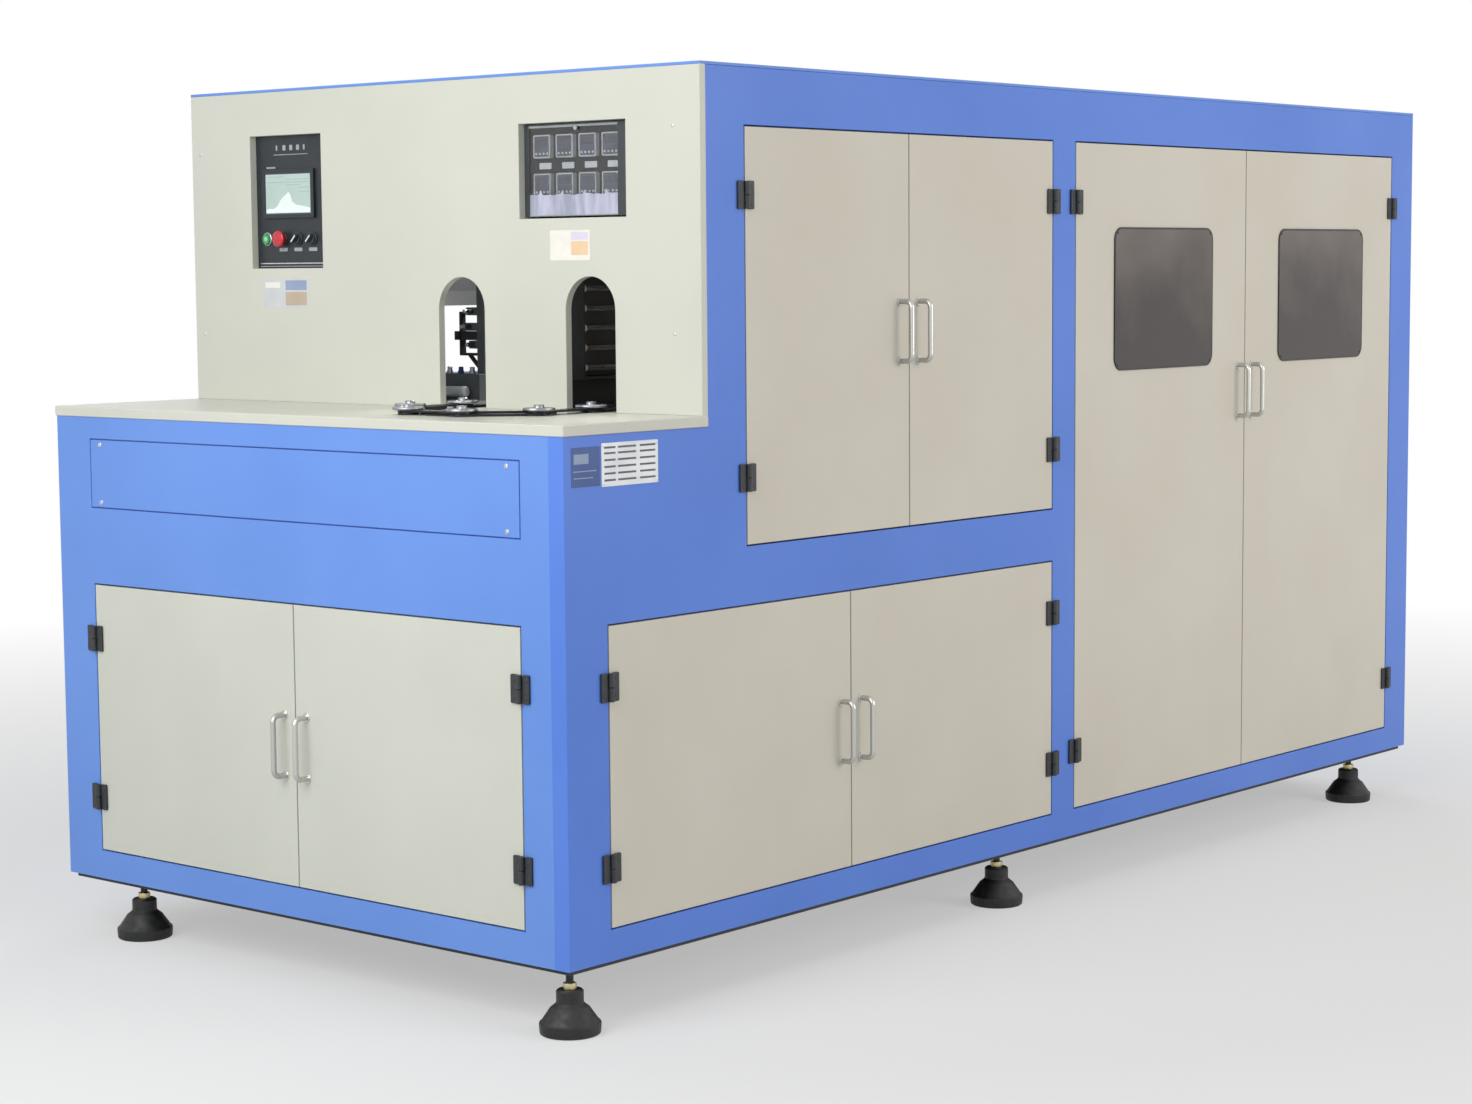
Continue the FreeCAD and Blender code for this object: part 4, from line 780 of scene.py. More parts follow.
# generic display: a few thin lines over a bright curve
for up, start, end in screen["lines"]:
    plate(touch, rect(u0 + start, u0 + end, v1 - up - 1.6, v1 - up), field, ink, at, material=4)
curve = [(u0 + a, v0 + b) for a, b in screen["curve"]]
plate(touch, [(curve[0][0], v0 + 2), (curve[-1][0], v0 + 2)] + curve[::-1], field, ink, at, material=3)
makePiece("touchScreen", "machine", touch,
          ["slatePlate", "displayGlass", "screenGlow", "screenPale", "screenLine"],
          ["touch_screen"])


def onShank(bm, name, cap, steps=48):
    # turned head of a control on its shank; returns the middle of its front
    low, high = span(name)
    at = facing("front", spots[name].x, low.y, spots[name].z)
    deep = low.y - high.y
    lathe(bm, [(0, deep), (shank, deep), *cap], at, steps)
    return at


push = bmesh.new()
lathe(push, startPush["lens"], onShank(push, "start_button", startPush["cap"]), 32, 1)
makePiece("startButton", "start_button", push, ["greenPush", "paleGreenLens"], ["start_button"])

mushroom = bmesh.new()
onShank(mushroom, "stop_button", mushroomCap, 64)
makePiece("stopButton", "stop_button", mushroom, ["redPush"], ["stop_button"])

for name in ("selector_1", "selector_2"):
    turn = bmesh.new()
    tilted = onShank(turn, name, knob["cap"]) @ Matrix.Rotation(-pi / 4, 4, "Z")
    (wide, tall), (line, lineLow, lineHigh) = knob["grip"], knob["line"]
    plate(turn, softRect(-wide, wide, -tall, tall, 2.2, 4), *knob["gripDepth"], tilted, 0.9)
    plate(turn, rect(-line, line, lineLow, lineHigh), -0.4, 0, tilted, material=1)
    makePiece(name.replace("_", "") + "Knob", name, turn, ["mouldedHousing", "whiteLaminate"],
              [name])
print("controls made")

# Instruments: framed faces with a display field and keys, label plates between the rows, and
# the clear flap with its rail and knob, painted shade down its sides and a sheet of painted reflection over
# its lower part.

meter = {"frame": 3.0, "sink": 1.0, "depth": 12.0, "display": (7.0, 1.0, 8.0), "keys": 4, "keyIn": 8.0,
         "key": 2.6, "keyUp": (7.0, 11.5), "label": (34.0, 13.0), "line": 0.7}
flap = {"thick": 3.0, "rail": 4.5, "railDrop": 3.0, "slack": 0.4, "border": (14.0, 36.0), "pin": 1.9,
        "reflectionSheet": 43.0, "reflectionThick": 0.35, "knobDrop": 12.0,
        "knob": ((0, 0), (3.4, 0), (3.4, 1.6), (4.2, 2.2), (4.9, 3.2), (4.9, 4.8), (4, 5.8), (0, 6)),
        "reflectionSteps": 48, "reflectionTooth": 12, "reflectionWave": ((1.0, 0.09, 0), (0.8, 0.23, 1)), "reflectionPeak": 9.0}

meters = bmesh.new()
columns, rows = set(), set()
for low, high in solidSpans("instruments"):
    middle = (low + high) / 2
    columns.add(round(middle.x))
    rows.add(round(middle.z))
    at = facing("front", middle.x, high.y, middle.z)
    half = (high.x - low.x) / 2
    ring = meter["frame"] - half
    hole = softRect(ring, -ring, ring, -ring, 2.4, 4)
    plate(meters, softRect(-half, half, -half, half, 3.5, 4), 0, meter["depth"], at, 0.7, [hole], 1)
    front = meter["depth"] - meter["sink"]
    plate(meters, inset(hole, -0.4), 0.5, front, at)
    side, bottom, top = meter["display"]
    display = softRect(-half + side, half - side, bottom, half - top, 1.5, 3)
    plate(meters, display, front, front + 0.3, at, 0.1, material=2)
    for k in range(meter["keys"]):
        u = -half + meter["keyIn"] + k * (2 * half - 2 * meter["keyIn"]) / (meter["keys"] - 1)
        v0, v1 = (up - half for up in meter["keyUp"])
        key = softRect(u - meter["key"], u + meter["key"], v0, v1, 1, 3)
        plate(meters, key, front, front + 0.6, at, 0.2, material=3)
plateFront = span("instrument_plate")[0].y
wide, tall = (size / 2 for size in meter["label"])
line = meter["line"]
for x in sorted(columns):
    at = facing("front", x, plateFront, sum(rows) / len(rows))
    plate(meters, softRect(-wide, wide, -tall, tall, 1.2, 3), 0, 0.8, at, 0.25, material=4)
    for up, short in ((-3, 0), (3, 6)):
        plate(meters, rect(4 - wide, wide - 4 - short, up - line, up + line), 0.8, 0.95, at, material=1)
makePiece("instrumentFaces", "machine", meters,
          ["meterFace", "paleTrim", "displayGlass", "deviceGrey", "paleGreyLabel"],
          ["instruments"])

low, high = span("instrument_cover")
x0, x1, _, z1 = recesses["instrument_plate"]
x0, x1 = x0 + flap["slack"], x1 - flap["slack"]
hingeY, hingeZ = (joints["instrument_cover"]["pos_m"][k] * 1000 for k in (1, 2))
cover = bmesh.new()
at = facing("front", 0, hingeY)
half, top = flap["thick"] / 2, high.z
plate(cover, softRect(x0, x1, low.z + 0.3, top, 4, 4), -half, half, at, 0.6)
rod(cover, [(x, hingeY, hingeZ) for x in (low.x + 0.2, high.x - 0.2)], flap["pin"], 16, 1)
inner0, inner1 = x0 + flap["border"][0], x1 - flap["border"][1]
drop = flap["railDrop"]
rail = softRect(inner0, inner1, top - flap["rail"] - drop, top - drop, 1.2, 3)
plate(cover, rail, half - 0.1, half + 1.4, at, 0.4, material=1)
# painted shade: dark strips down the flap's sides, where the plate's margins lie in shade behind it
for u0, u1 in ((x0 + 0.5, inner0), (inner1, x1 - 0.5)):
    plate(cover, rect(u0, u1, low.z + 0.6, top - 0.4), half - 0.1, half + 0.5, at, 0.1, material=2)
lathe(cover, flap["knob"], facing("front", (x0 + x1) / 2, hingeY - half, z1 - flap["knobDrop"]), 32, 1)
makePiece("instrumentCoverFlap", "instrument_cover", cover, ["clearAcrylic", "greyTrim", "mouldedHousing"],
          ["instrument_cover"])

# painted reflection: a milky sheet with a wavy top laid over the lower part of the flap
reflectionSheet = bmesh.new()
steps, tooth = flap["reflectionSteps"], flap["reflectionTooth"]
start, end = inner0 + 1, inner1 - 1
outline = [(start, low.z + 4), (end, low.z + 4)]
for k in range(steps + 1):
    u = end - (end - start) * k / steps
    wave = sum(tall * sin(u * rate + shift) for tall, rate, shift in flap["reflectionWave"])
    wave += flap["reflectionPeak"] if k % tooth == tooth / 2 else 0
    outline.append((u, low.z + 3 + flap["reflectionSheet"] + wave))
plate(reflectionSheet, outline, half + 0.05, half + 0.05 + flap["reflectionThick"], at)
makePiece("coverPaintedReflection", "instrument_cover", reflectionSheet, ["paintedReflection"])

# Plain plates on the upright panel and on the right side, as fields of colour:
# (finish, left, right, bottom, top, layer).

bars = [("castGrey", u0, u1, v, v + 4, 1) for v in (1067, 1080, 1093, 1106, 1119, 1130)
        for u0, u1 in ((-1568, -1536), (-1529, -1477), (-1466, -1421))]
labels = {
    "panelLabels": ("panel", 0.5, "beige", [
        ("paleGreyLabel", -552, -401, 1391, 1457, 0), ("paleBlueLabel", -478, -407, 1431, 1453, 1),
        ("tanLabel", -478, -407, 1397, 1427, 1), ("whiteLaminate", -546, -496, 1436, 1449, 1),
        ("whiteLaminate", 346, 458, 1491, 1553, 0), ("lilacLabel", 406, 453, 1533, 1549, 1),
        ("orangeLabel", 406, 453, 1502, 1530, 1)]),
    "sideLabel": ("right", 0.6, "beige", [
        ("blueLabel", -1660, -1580, 1060, 1136, 0), ("paleBlueLabel", -1653, -1612, 1104, 1123, 1),
        ("paleBlueLabel", -1654, -1590, 1089, 1091, 1), ("paleBlueLabel", -1654, -1600, 1076, 1078, 1)]),
    "sidePlate": ("right", 1.0, "aluminium", [("anodisedAluminium", -1576, -1413, 1057, 1141, 0), *bars]),
}
sidePlateScrews = {"across": (-1570.5, -1418.5), "up": (1062.5, 1135.5), "size": (2.6, 1.3)}
for name, (side, thick, slot, fields) in labels.items():
    bm = bmesh.new()
    looks = list(dict.fromkeys(field[0] for field in fields))
    for look, u0, u1, v0, v1, layer in fields:
        w, top, soft, edge = (thick, thick + 0.15, 0.4, 0) if layer else (0, thick, 2.5, 0.15)
        plate(bm, softRect(u0, u1, v0, v1, soft, 3), w, top, faces[side], edge, material=looks.index(look))
    if name == "sidePlate":
        for u in sidePlateScrews["across"]:
            for v in sidePlateScrews["up"]:
                screwHead(bm, moved(faces[side], u, v, 0.8), *sidePlateScrews["size"])
    makePiece(name, "machine", bm, looks)
print("instruments and plates made")

# Preform chain: flat links that overlap at each holder, bright holders, the wheel of the rear
# bend and its drive.

step = 2 * pi / chain["pockets"]
pitch = chain["apart"] * tan(pi / chain["pockets"])
bendY = wheelY - chain["straight"] * pitch
bendRadius = chain["apart"] / 2 / cos(step / 2)
holderPlaces = []
for end, middleY in ((-1, bendY), (1, wheelY)):
    for k in range(chain["pockets"] // 2):
        a = step * (k + 0.5)
        holderPlaces.append((loopX - end * bendRadius * cos(a), middleY + end * bendRadius * sin(a)))
    for k in range(chain["straight"]):
        holderPlaces.append((loopX + end * chain["apart"] / 2, middleY - end * (k + 0.5) * pitch))

links = bmesh.new()
holders = bmesh.new()
chainTop = worktopTop + 2 * chain["linkThick"]
r, w, m = chain["linkHalf"], chain["waist"], chain["mandrel"]
f, t, h = chain["flange"], chain["flangeThick"], chain["flangeThick"] + chain["mandrelHeight"]
holder = [(0, 0), (f - 1.5, 0), (f - 0.3, 1), (f, 2), (f, t - 2), (f - 0.5, t - 0.8), (f - 2, t),
          (m + 6, t), (m + 4.5, t - 1), (m + 1.5, t - 1), (m + 0.6, t), (m, t + 1), (m, h - 1.2),
          (m - 1.2, h), (4, h), (3.4, t + 3), (0, t + 3)]
turns = [pi / 2 * s / 10 for s in range(-10, 11)]
for k, here in enumerate(holderPlaces):
    there = holderPlaces[(k + 1) % len(holderPlaces)]
    length = (Vector(there) - Vector(here)).length
    angle = atan2(there[1] - here[1], there[0] - here[0])
    at = Matrix.Translation((*here, worktopTop + (k % 2) * chain["linkThick"]))
    at = at @ Matrix.Rotation(angle, 4, "Z")
    outline = [(length + r * cos(a), r * sin(a)) for a in turns] + [(length - r * 1.3, w), (r * 1.3, w)]
    outline += [(-r * cos(a), -r * sin(a)) for a in turns] + [(r * 1.3, -w), (length - r * 1.3, -w)]
    plate(links, outline, 0.15, chain["linkThick"] - 0.15, at, 0.6)
    lathe(holders, holder, Matrix.Translation((*here, chainTop)), 56)
makePiece("chainLinks", "machine", links, ["oiledBlackSteel"], ["chain_links"])
makePiece("preformHolders", "machine", holders, ["wornSteel"], ["preform_holders"])

wheel = {"thick": 9.0, "rise": 0.5, "slack": 0.6, "hub": 39.0, "bore": 15.0, "holeRing": 0.62, "hole": 0.19,
         "bolts": 6, "bolt": 5.5, "boltTall": 2.2, "boltRing": 27.0, "shaft": 14.7}
radius = (wheelHigh.x - wheelLow.x) / 2
wheelTurning = bmesh.new()
at = Matrix.Translation((loopX, wheelY, worktopTop + wheel["rise"]))
ring = wheel["holeRing"] * radius
turns = [radians(45 + 90 * k) for k in range(4)]
holes = [circle(wheel["hole"] * radius, ring * cos(a), ring * sin(a), 32) for a in turns]
plate(wheelTurning, circle(radius - wheel["slack"], steps=96), 0, wheel["thick"], at, 1.0, holes)
top, under = wheelHigh.z - worktopTop - wheel["rise"], wheel["thick"] - 1
hub, bore = wheel["hub"], wheel["bore"]
lathe(wheelTurning, [(0, under), (hub, under), (hub, top - 2), (hub - 2, top), (bore, top),
                     (bore - 1, top - 1.5), (0, top - 1.5)], at)
for spot in ringSpots(at, wheel["bolts"], wheel["boltRing"], top - wheel["boltTall"]):
    plate(wheelTurning, circle(wheel["bolt"], steps=6), 0, wheel["boltTall"], spot, 0.5, material=1)
shaft, bottom = wheel["shaft"], wheelLow.z - worktopTop
lathe(wheelTurning, [(0, bottom), (shaft - 1.5, bottom), (shaft, bottom + 1.5), (shaft, 0), (0, 0.5)],
      at, 40)
makePiece("chainWheel", "chain_wheel", wheelTurning, ["groundSteel", "oiledBlackSteel"],
          ["chain_wheel"])

gearbox = {"half": 70.0, "motor": 50.0, "body": 44.0, "finStep": 9.0, "finThick": 3.0, "cowl": 52.0,
           "cap": ((48, -1), (48, 1.2), (46, 2.4), (0, 2.4)), "screwRing": 40.0,
           "screw": ((4.5, 1), (4.5, 4), (3.6, 4.6), (0, 4.6)), "box": ((30, -170, -24), (62, -96, 24))}
low, high = span("gear_motor")
drive = bmesh.new()
half, fin, slim, cowl = gearbox["half"], gearbox["motor"], gearbox["body"], gearbox["cowl"]
axisZ = high.z - half
cuboid(drive, (loopX - half, low.y, low.z), (loopX + half, low.y + 2 * half, high.z), 6)
for way, x in (("-x", loopX - half), ("x", loopX + half)):
    cap = pointing(way, x, low.y + half, axisZ)
    lathe(drive, gearbox["cap"], cap)
    for spot in ringSpots(cap, 4, gearbox["screwRing"], 0, pi / 4):
        lathe(drive, gearbox["screw"], spot, 20, 1)
length = high.y - low.y - 2 * half
profile = [(0, -1), (fin, -1), (fin, 10), (slim, 12)]
w = 16.0
while w < length - 70:
    profile += [(slim, w), (fin, w), (fin, w + gearbox["finThick"]), (slim, w + gearbox["finThick"])]
    w += gearbox["finStep"]
profile += [(slim, length - 58), (cowl - 1, length - 56), (cowl - 0.6, length - 4),
            (cowl - 4, length - 0.5), (14, length - 0.5), (12, length - 2), (0, length - 2)]
lathe(drive, profile, pointing("y", loopX, low.y + 2 * half, axisZ), 56)
cuboid(drive, *((loopX + x, high.y + y, axisZ + z) for x, y, z in gearbox["box"]), 4)
makePiece("gearMotor", "machine", drive, ["castGrey", "oiledBlackSteel"], ["gear_motor"])

lampTube = {"radius": 5.4, "cap": 7.5, "capLength": 26.0, "lap": 4.0, "filament": 1.3, "steps": 28}
tubes = bmesh.new()
for low, high in solidSpans("heating_lamps"):
    at = pointing("y", (low.x + high.x) / 2, low.y, (low.z + high.z) / 2)
    length, end, lap, steps = high.y - low.y, lampTube["capLength"], lampTube["lap"], lampTube["steps"]
    lathe(tubes, bar(lampTube["radius"], end - lap, length - end + lap), at, steps)
    lathe(tubes, bar(lampTube["filament"], end, length - end), at, 12, 2)
    for w0, w1 in ((0, end), (length - end, length)):
        lathe(tubes, bar(lampTube["cap"], w0, w1, 1), at, steps, 1)
makePiece("heatingLamps", "machine", tubes, ["quartzTube", "firedCeramic", "oiledBlackSteel"],
          ["heating_lamps"])

# fittings on the valves, and below them the block's fittings and its silencer
valve = {"half": 12.0, "heads": ((200.0, 34.0), (165.0, 46.0), (125.0, 26.0)), "reaches": (0.45, 0.85),
         "head": ((5.5, -1), (5.5, 5), (4.6, 6), (4.6, 11), (3.6, 12), (0, 12)),
         "ports": ((26, 2), (62, 1), (98, 2), (134, 1)), "portUp": 60.0, "portBack": 14.0,
         "port": ((7, -1), (7, 6), (5.6, 7), (5.6, 14), (4.4, 15), (0, 15)),
         "silencer": ((0, 0), (9, 0), (12, 3), (12, 48), (12.6, 50), (12.6, 61), (10, 64), (0, 64)),
         "silencerAt": (79, -14, 20), "plug": ((92, -6, 13), (116, 1, 28)), "bracketHalf": 8.0,
         "bracket": ((-60, 3, 193, 199), (-60, -54, 101, 199), (-76, -1, 135, 155), (-60, 3, 100, 106)),
         "hose": ((-34, 102), (-24, 92), (4, 66), (8, 50)), "hoseRadius": 5.0}
low, high = span("air_valves")
fittings = bmesh.new()
half = valve["half"]
postX, postY = high.x - half, (low.y + high.y) / 2
for up, reach in valve["heads"]:
    for look, share in enumerate(valve["reaches"]):
        at = pointing("-y", postX - half - reach * share, postY - half, worktopTop + up)
        lathe(fittings, valve["head"], at, 24, look)
for x, look in valve["ports"]:
    at = Matrix.Translation((low.x + x, low.y + valve["portBack"], worktopTop + valve["portUp"]))
    lathe(fittings, valve["port"], at, 24, look)
x, y, z = valve["silencerAt"]
lathe(fittings, valve["silencer"], pointing("x", low.x + x, low.y + y, worktopTop + z), 32, 3)
cuboid(fittings, *((low.x + x, low.y + y, worktopTop + z) for x, y, z in valve["plug"]), 1, 2)
# bracket with a sensor block beside the post, and the hose down to the deck's block
postX -= half
half = valve["bracketHalf"]
for x0, x1, z0, z1 in valve["bracket"]:
    low, high = (postX + x0, postY - half, worktopTop + z0), (postX + x1, postY + half, worktopTop + z1)
    cuboid(fittings, low, high, 0.8)
rod(fittings, [(postX + x, postY, worktopTop + up) for x, up in valve["hose"]], valve["hoseRadius"])
makePiece("valveFittings", "machine", fittings, ["mouldedNylon", "brightZinc", "blueNylon", "paleTrim"])
print("chain and oven made")

# Blow station: platens with clamp rods, moulds with smooth cavities, cylinders and rods.

station = {"tie": 24.6, "hole": 25.5, "rod": 19.6, "platen": 50.0, "mould": 160.0, "edge": 2.0,
           "apart": 200.0, "tieApart": 540.0, "tieHeights": (1010.0, 1450.0), "rodHeight": 1230.0,
           "flange": ((44, -1), (44, 8), (42, 10), (20, 10)), "bolts": 6, "bolt": 6.0, "boltRing": 33.0,
           "boltTall": 5.0}
mould = {"height": 250.0, "steps": 64, "neck": 16.0, "ports": (70, 150, 230), "port": (9.0, -18, 3),
         "bottle": ((0, 6), (24, 6), (27, 3), (31, 0), (36, 2), (39, 6), (40, 11), (40, 40), (38.8, 44),
                    (38.8, 56), (40, 60), (40, 150), (39.6, 165), (37, 182), (31, 200), (23, 213),
                    (17.5, 221), (16, 226)),
         "nipple": ((0, -17), (7.5, -17), (7.5, -3), (5.2, -2), (5.2, -0.6), (4.4, 0), (2.8, 0), (2.4, -4),
                    (0, -4))}
cylinder = {"clamp": 54.0, "stretch": 37.0, "endCap": 22.0, "tube": 0.86, "tie": 0.93, "tieRadius": 2.8,
            "stretchBore": 9.0}
stretchTip = ((0, 0), (3, 0.4), (5.6, 2.4), (7.2, 6), (7.4, 10))
tieLow, tieHigh = span("tie_bars")
clampX, parting = (tieLow.x + tieHigh.x) / 2, (tieLow.y + tieHigh.y) / 2
tieSpots = [(clampX + s * station["tieApart"] / 2, z) for s in (-1, 1) for z in station["tieHeights"]]

bars = bmesh.new()
for x, z in tieSpots:
    lathe(bars, bar(station["tie"], 0, tieHigh.y - tieLow.y), pointing("y", x, tieLow.y, z))
makePiece("tieBars", "machine", bars, ["hardChrome"], ["tie_bars"])

for name, toward in (("clamp_platen_front", -1), ("clamp_platen_rear", 1)):
    low, high = span(name)
    near, thick, rodRadius = parting + toward * station["mould"], station["platen"], station["rod"]
    platen = bmesh.new()
    at = pointing("-y", 0, near, 0)
    if toward > 0:
        at = at @ Matrix.Scale(-1, 4, (0, 0, 1))
    holes = [circle(station["hole"], x, z, 40) for x, z in tieSpots]
    plate(platen, rounded(rect(low.x, high.x, low.z, high.z), 6, 3), 0.1, thick, at, station["edge"], holes)
    length = (near - (low.y if toward < 0 else high.y)) * -toward
    spot = moved(at, clampX, station["rodHeight"])
    lathe(platen, [(0, thick - 2), (rodRadius, thick - 2), (rodRadius, length - 1), (rodRadius - 1, length),
                   (0, length)], spot, 40, 1)
    lathe(platen, [(r, thick + w) for r, w in station["flange"]], spot)
    for bolt in ringSpots(spot, station["bolts"], station["boltRing"], thick + 9):
        plate(platen, circle(station["bolt"], steps=6), 0, station["boltTall"], bolt, 0.8, material=2)
    makePiece(name.replace("_", "") + "Plate", name.replace("_platen", ""), platen,
              ["groundSteel", "hardChrome", "oiledBlackSteel"], [name])


def rawObject(bm):
    bmesh.ops.recalc_face_normals(bm, faces=bm.faces)
    mesh = bpy.data.meshes.new("raw")
    bm.to_mesh(mesh)
    bm.free()
    return addObject("raw", mesh)


for name in ("mould_half_front", "mould_half_rear"):
    low, high = span(name)
    solid = bmesh.new()
    cuboid(solid, low, high, 1.2)
    bottle = bmesh.new()
    neck, neckTop = mould["neck"], mould["height"] + 5
    for x in (clampX - station["apart"] / 2, clampX + station["apart"] / 2):
        at = Matrix.Translation((x, parting, high.z - mould["height"]))
        lathe(bottle, [*mould["bottle"], (neck, neckTop), (0, neckTop)], at, mould["steps"])
    # holes for the cooling water, with their fittings added after the cut
    ports = [pointing(way, x, (low.y + high.y) / 2, low.z + up) for up in mould["ports"]
             for way, x in (("-x", low.x), ("x", high.x))]
    for port in ports:
        lathe(bottle, bar(*mould["port"]), port, 32)
    body, cutter = rawObject(solid), rawObject(bottle)
    cut = body.modifiers.new("cavity", "BOOLEAN")
    cut.operation = "DIFFERENCE"
    cut.solver = "EXACT"
    cut.use_self = True
    cut.object = cutter
    bpy.context.view_layer.update()
    evaluated = body.evaluated_get(bpy.context.evaluated_depsgraph_get())
    carved = bmesh.new()
    carved.from_mesh(evaluated.to_mesh())
    evaluated.to_mesh_clear()
    for raw in (body, cutter):
        mesh = raw.data
        bpy.data.objects.remove(raw)
        bpy.data.meshes.remove(mesh)
    for port in ports:
        lathe(carved, mould["nipple"], port, 28, 1)
    makePiece(name.replace("_", "") + "Block", name.replace("mould_half", "clamp"), carved,
              ["anodisedAluminium", "brassFitting"], [name])


def airCylinder(bm, at, radius, length, hole):
    # tube between two end caps, with four tie rods
    cap, tube = cylinder["endCap"], radius * cylinder["tube"]
    lathe(bm, [(hole, 0), (radius, 0), (radius, cap - 1), (radius - 1, cap), (tube, cap),
               (tube, length - cap), (radius - 1, length - cap), (radius, length - cap + 1),
               (radius, length - 1), (radius - 1, length), (0, length), (0, length - 8),
               (hole, length - 8)], at, 56, closed=True)
    for spot in ringSpots(at, 4, radius * cylinder["tie"], cap - 1, pi / 4):
        lathe(bm, bar(cylinder["tieRadius"], 0, length - 2 * cap + 2), spot, 16, 1)


clampTubes = bmesh.new()
for low, high in solidSpans("clamp_cylinders"):
    way, start = ("y", low.y) if (low.y + high.y) / 2 > parting else ("-y", high.y)
    at = pointing(way, clampX, start, station["rodHeight"])
    airCylinder(clampTubes, at, cylinder["clamp"], high.y - low.y, station["rod"] + 1)
makePiece("clampCylinders", "machine", clampTubes, ["anodisedAluminium", "hardChrome"],
          ["clamp_cylinders"])

stretchTubes = bmesh.new()
stretchDrawn = bmesh.new()
for low, high in solidSpans("stretch_cylinders"):
    at = standing(low, high, low.z)
    airCylinder(stretchTubes, at, cylinder["stretch"], high.z - low.z, cylinder["stretchBore"])
for low, high in solidSpans("stretch_rods"):
    at = standing(low, high, low.z)
    length = high.z - low.z
    lathe(stretchDrawn, [*stretchTip, (stretchTip[-1][0], length), (0, length)], at, 32)
makePiece("stretchCylinders", "machine", stretchTubes, ["anodisedAluminium", "hardChrome"],
          ["stretch_cylinders"])
makePiece("stretchRods", "stretch_rods", stretchDrawn, ["hardChrome"], ["stretch_rods"])
print("blow station made")

# Services in the lower part: mounting plate with its devices, air tank and cable inlet.

gear = {"margin": 60.0, "gap": 12.0, "plateThick": 3.0, "duct": (40.0, 50.0), "ductIn": 20.0,
        "ductLevels": (575.0, 415.0, 200.0), "slot": (5.0, 34.0, 14.0), "rail": (30.0, 7.0, 17.0)}
# one row for each rail: height, kind, tall, deep and the devices' widths
deviceRows = ((640.0, "breaker", 90.0, 70.0, (60.0, 60.0, 60.0, 120.0, 90.0)),
              (470.0, "contactor", 90.0, 80.0, (45.0, 45.0, 45.0, 45.0, 90.0)),
              (250.0, "drive", 150.0, 110.0, (120.0, 120.0, 120.0)))
screwTerminal = ((4, -0.5), (4, 0.4), (2.6, 0.5), (2.4, -0.3), (0, -0.3))
powerTerminal = ((5, -0.5), (5, 0.4), (3.4, 0.5), (3.2, -0.6), (0, -0.6))

low, high = span("electrical_panel")
plateFront = high.y - gear["plateThick"]
mounting = bmesh.new()
devices = bmesh.new()
at = facing("front", 0, plateFront)
plate(mounting, rounded(rect(low.x, high.x, low.z, high.z), 6, 3), -gear["plateThick"], 0, at, 0.6)
(tall, deep), (slotWide, slotDeep, slotStep) = gear["duct"], gear["slot"]
u0, u1 = low.x + gear["ductIn"], high.x - gear["ductIn"]
for z in gear["ductLevels"]:
    cuboid(mounting, (u0, plateFront - deep, z), (u1, plateFront, z + tall), 1, 1)
    for k in range(int((u1 - u0 - 20) / slotStep)):
        u = u0 + 14 + k * slotStep
        for v in (z - 0.4, z + tall - 0.4):
            inner, outer = (u, plateFront - 6 - slotDeep, v), (u + slotWide, plateFront - 6, v + 0.8)
            cuboid(mounting, inner, outer, 0, 2)
railIn, railDeep, railHalf = gear["rail"]


def housing(u0, u1, w0, w1, v0, v1, edge, look=0):
    # block of a device; w counts from its front, and none means down to the mounting plate
    cuboid(devices, (u0, front + w0, v0), (u1, plateFront if w1 is None else front + w1, v1), edge, look)


def terminals(count, heights, w, profile=screwTerminal, look=3):
    for k in range(count):
        for v in heights:
            lathe(devices, profile, facing("front", x + width * (k + 0.5) / count, front + w, v), 20, look)


for z, kind, tall, deep, widths in deviceRows:
    cuboid(mounting, (low.x + railIn, plateFront - railDeep, z + tall / 2 - railHalf),
           (high.x - railIn, plateFront, z + tall / 2 + railHalf), 0.8, 3)
    x = low.x + gear["margin"]
    front = plateFront - deep
    face = facing("front", 0, front)
    for width in widths:
        middle, end, top = x + width / 2, x + width, z + tall
        if kind == "breaker":
            housing(x, end, 18, None, z, top, 1.5)
            housing(x, end, 4, 20, z + 24, top - 24, 1.5)
            poles = max(1, round(width / 18))
            for k in range(poles):
                u = x + width * (k + 0.5) / poles
                housing(u - 4, u + 4, 0, 6, z + tall / 2 - 9, z + tall / 2 + 4, 1, 1)
            terminals(poles, (z + 12, top - 12), 18)
        elif kind == "contactor":
            housing(x, end, 22, None, z, top, 1.5, 1)
            housing(x + 3, end - 3, 0, 24, z + 18, top - 18, 2, 1)
            plate(devices, softRect(x + 8, end - 8, z + 34, top - 34, 1.5, 3), 0, 0.6, face, material=4)
            terminals(3, (z + 9, top - 9), 22)
        else:
            housing(x, end, 6, None, z, top, 3, 2)
            housing(x + 4, end - 4, 0, 8, z + 52, top - 6, 3, 2)
            display = softRect(middle - 30, middle + 30, z + 104, z + 130, 2, 3)
            plate(devices, display, 0, 0.5, face, material=5)
            for u in (middle - 32 + k * 16 for k in range(5)):
                plate(devices, softRect(u - 5, u + 5, z + 74, z + 84, 2, 3), 0, 1.2, face, 0.4)
            for k in range(6):
                at = facing("front", x + 14 + k * (width - 28) / 5, front + 6, z + 24)
                lathe(devices, powerTerminal, at, 20, 6)
        x += width + gear["gap"]
makePiece("mountingPlate", "machine", mounting,
          ["galvanised", "deviceGrey", "mouldedHousing", "brightZinc"], ["electrical_panel"])
makePiece("electricalDevices", "machine", devices,
          ["deviceGrey", "mouldedHousing", "greyTrim", "brightZinc", "paleGreyLabel", "displayGlass",
           "copperTerminal"])

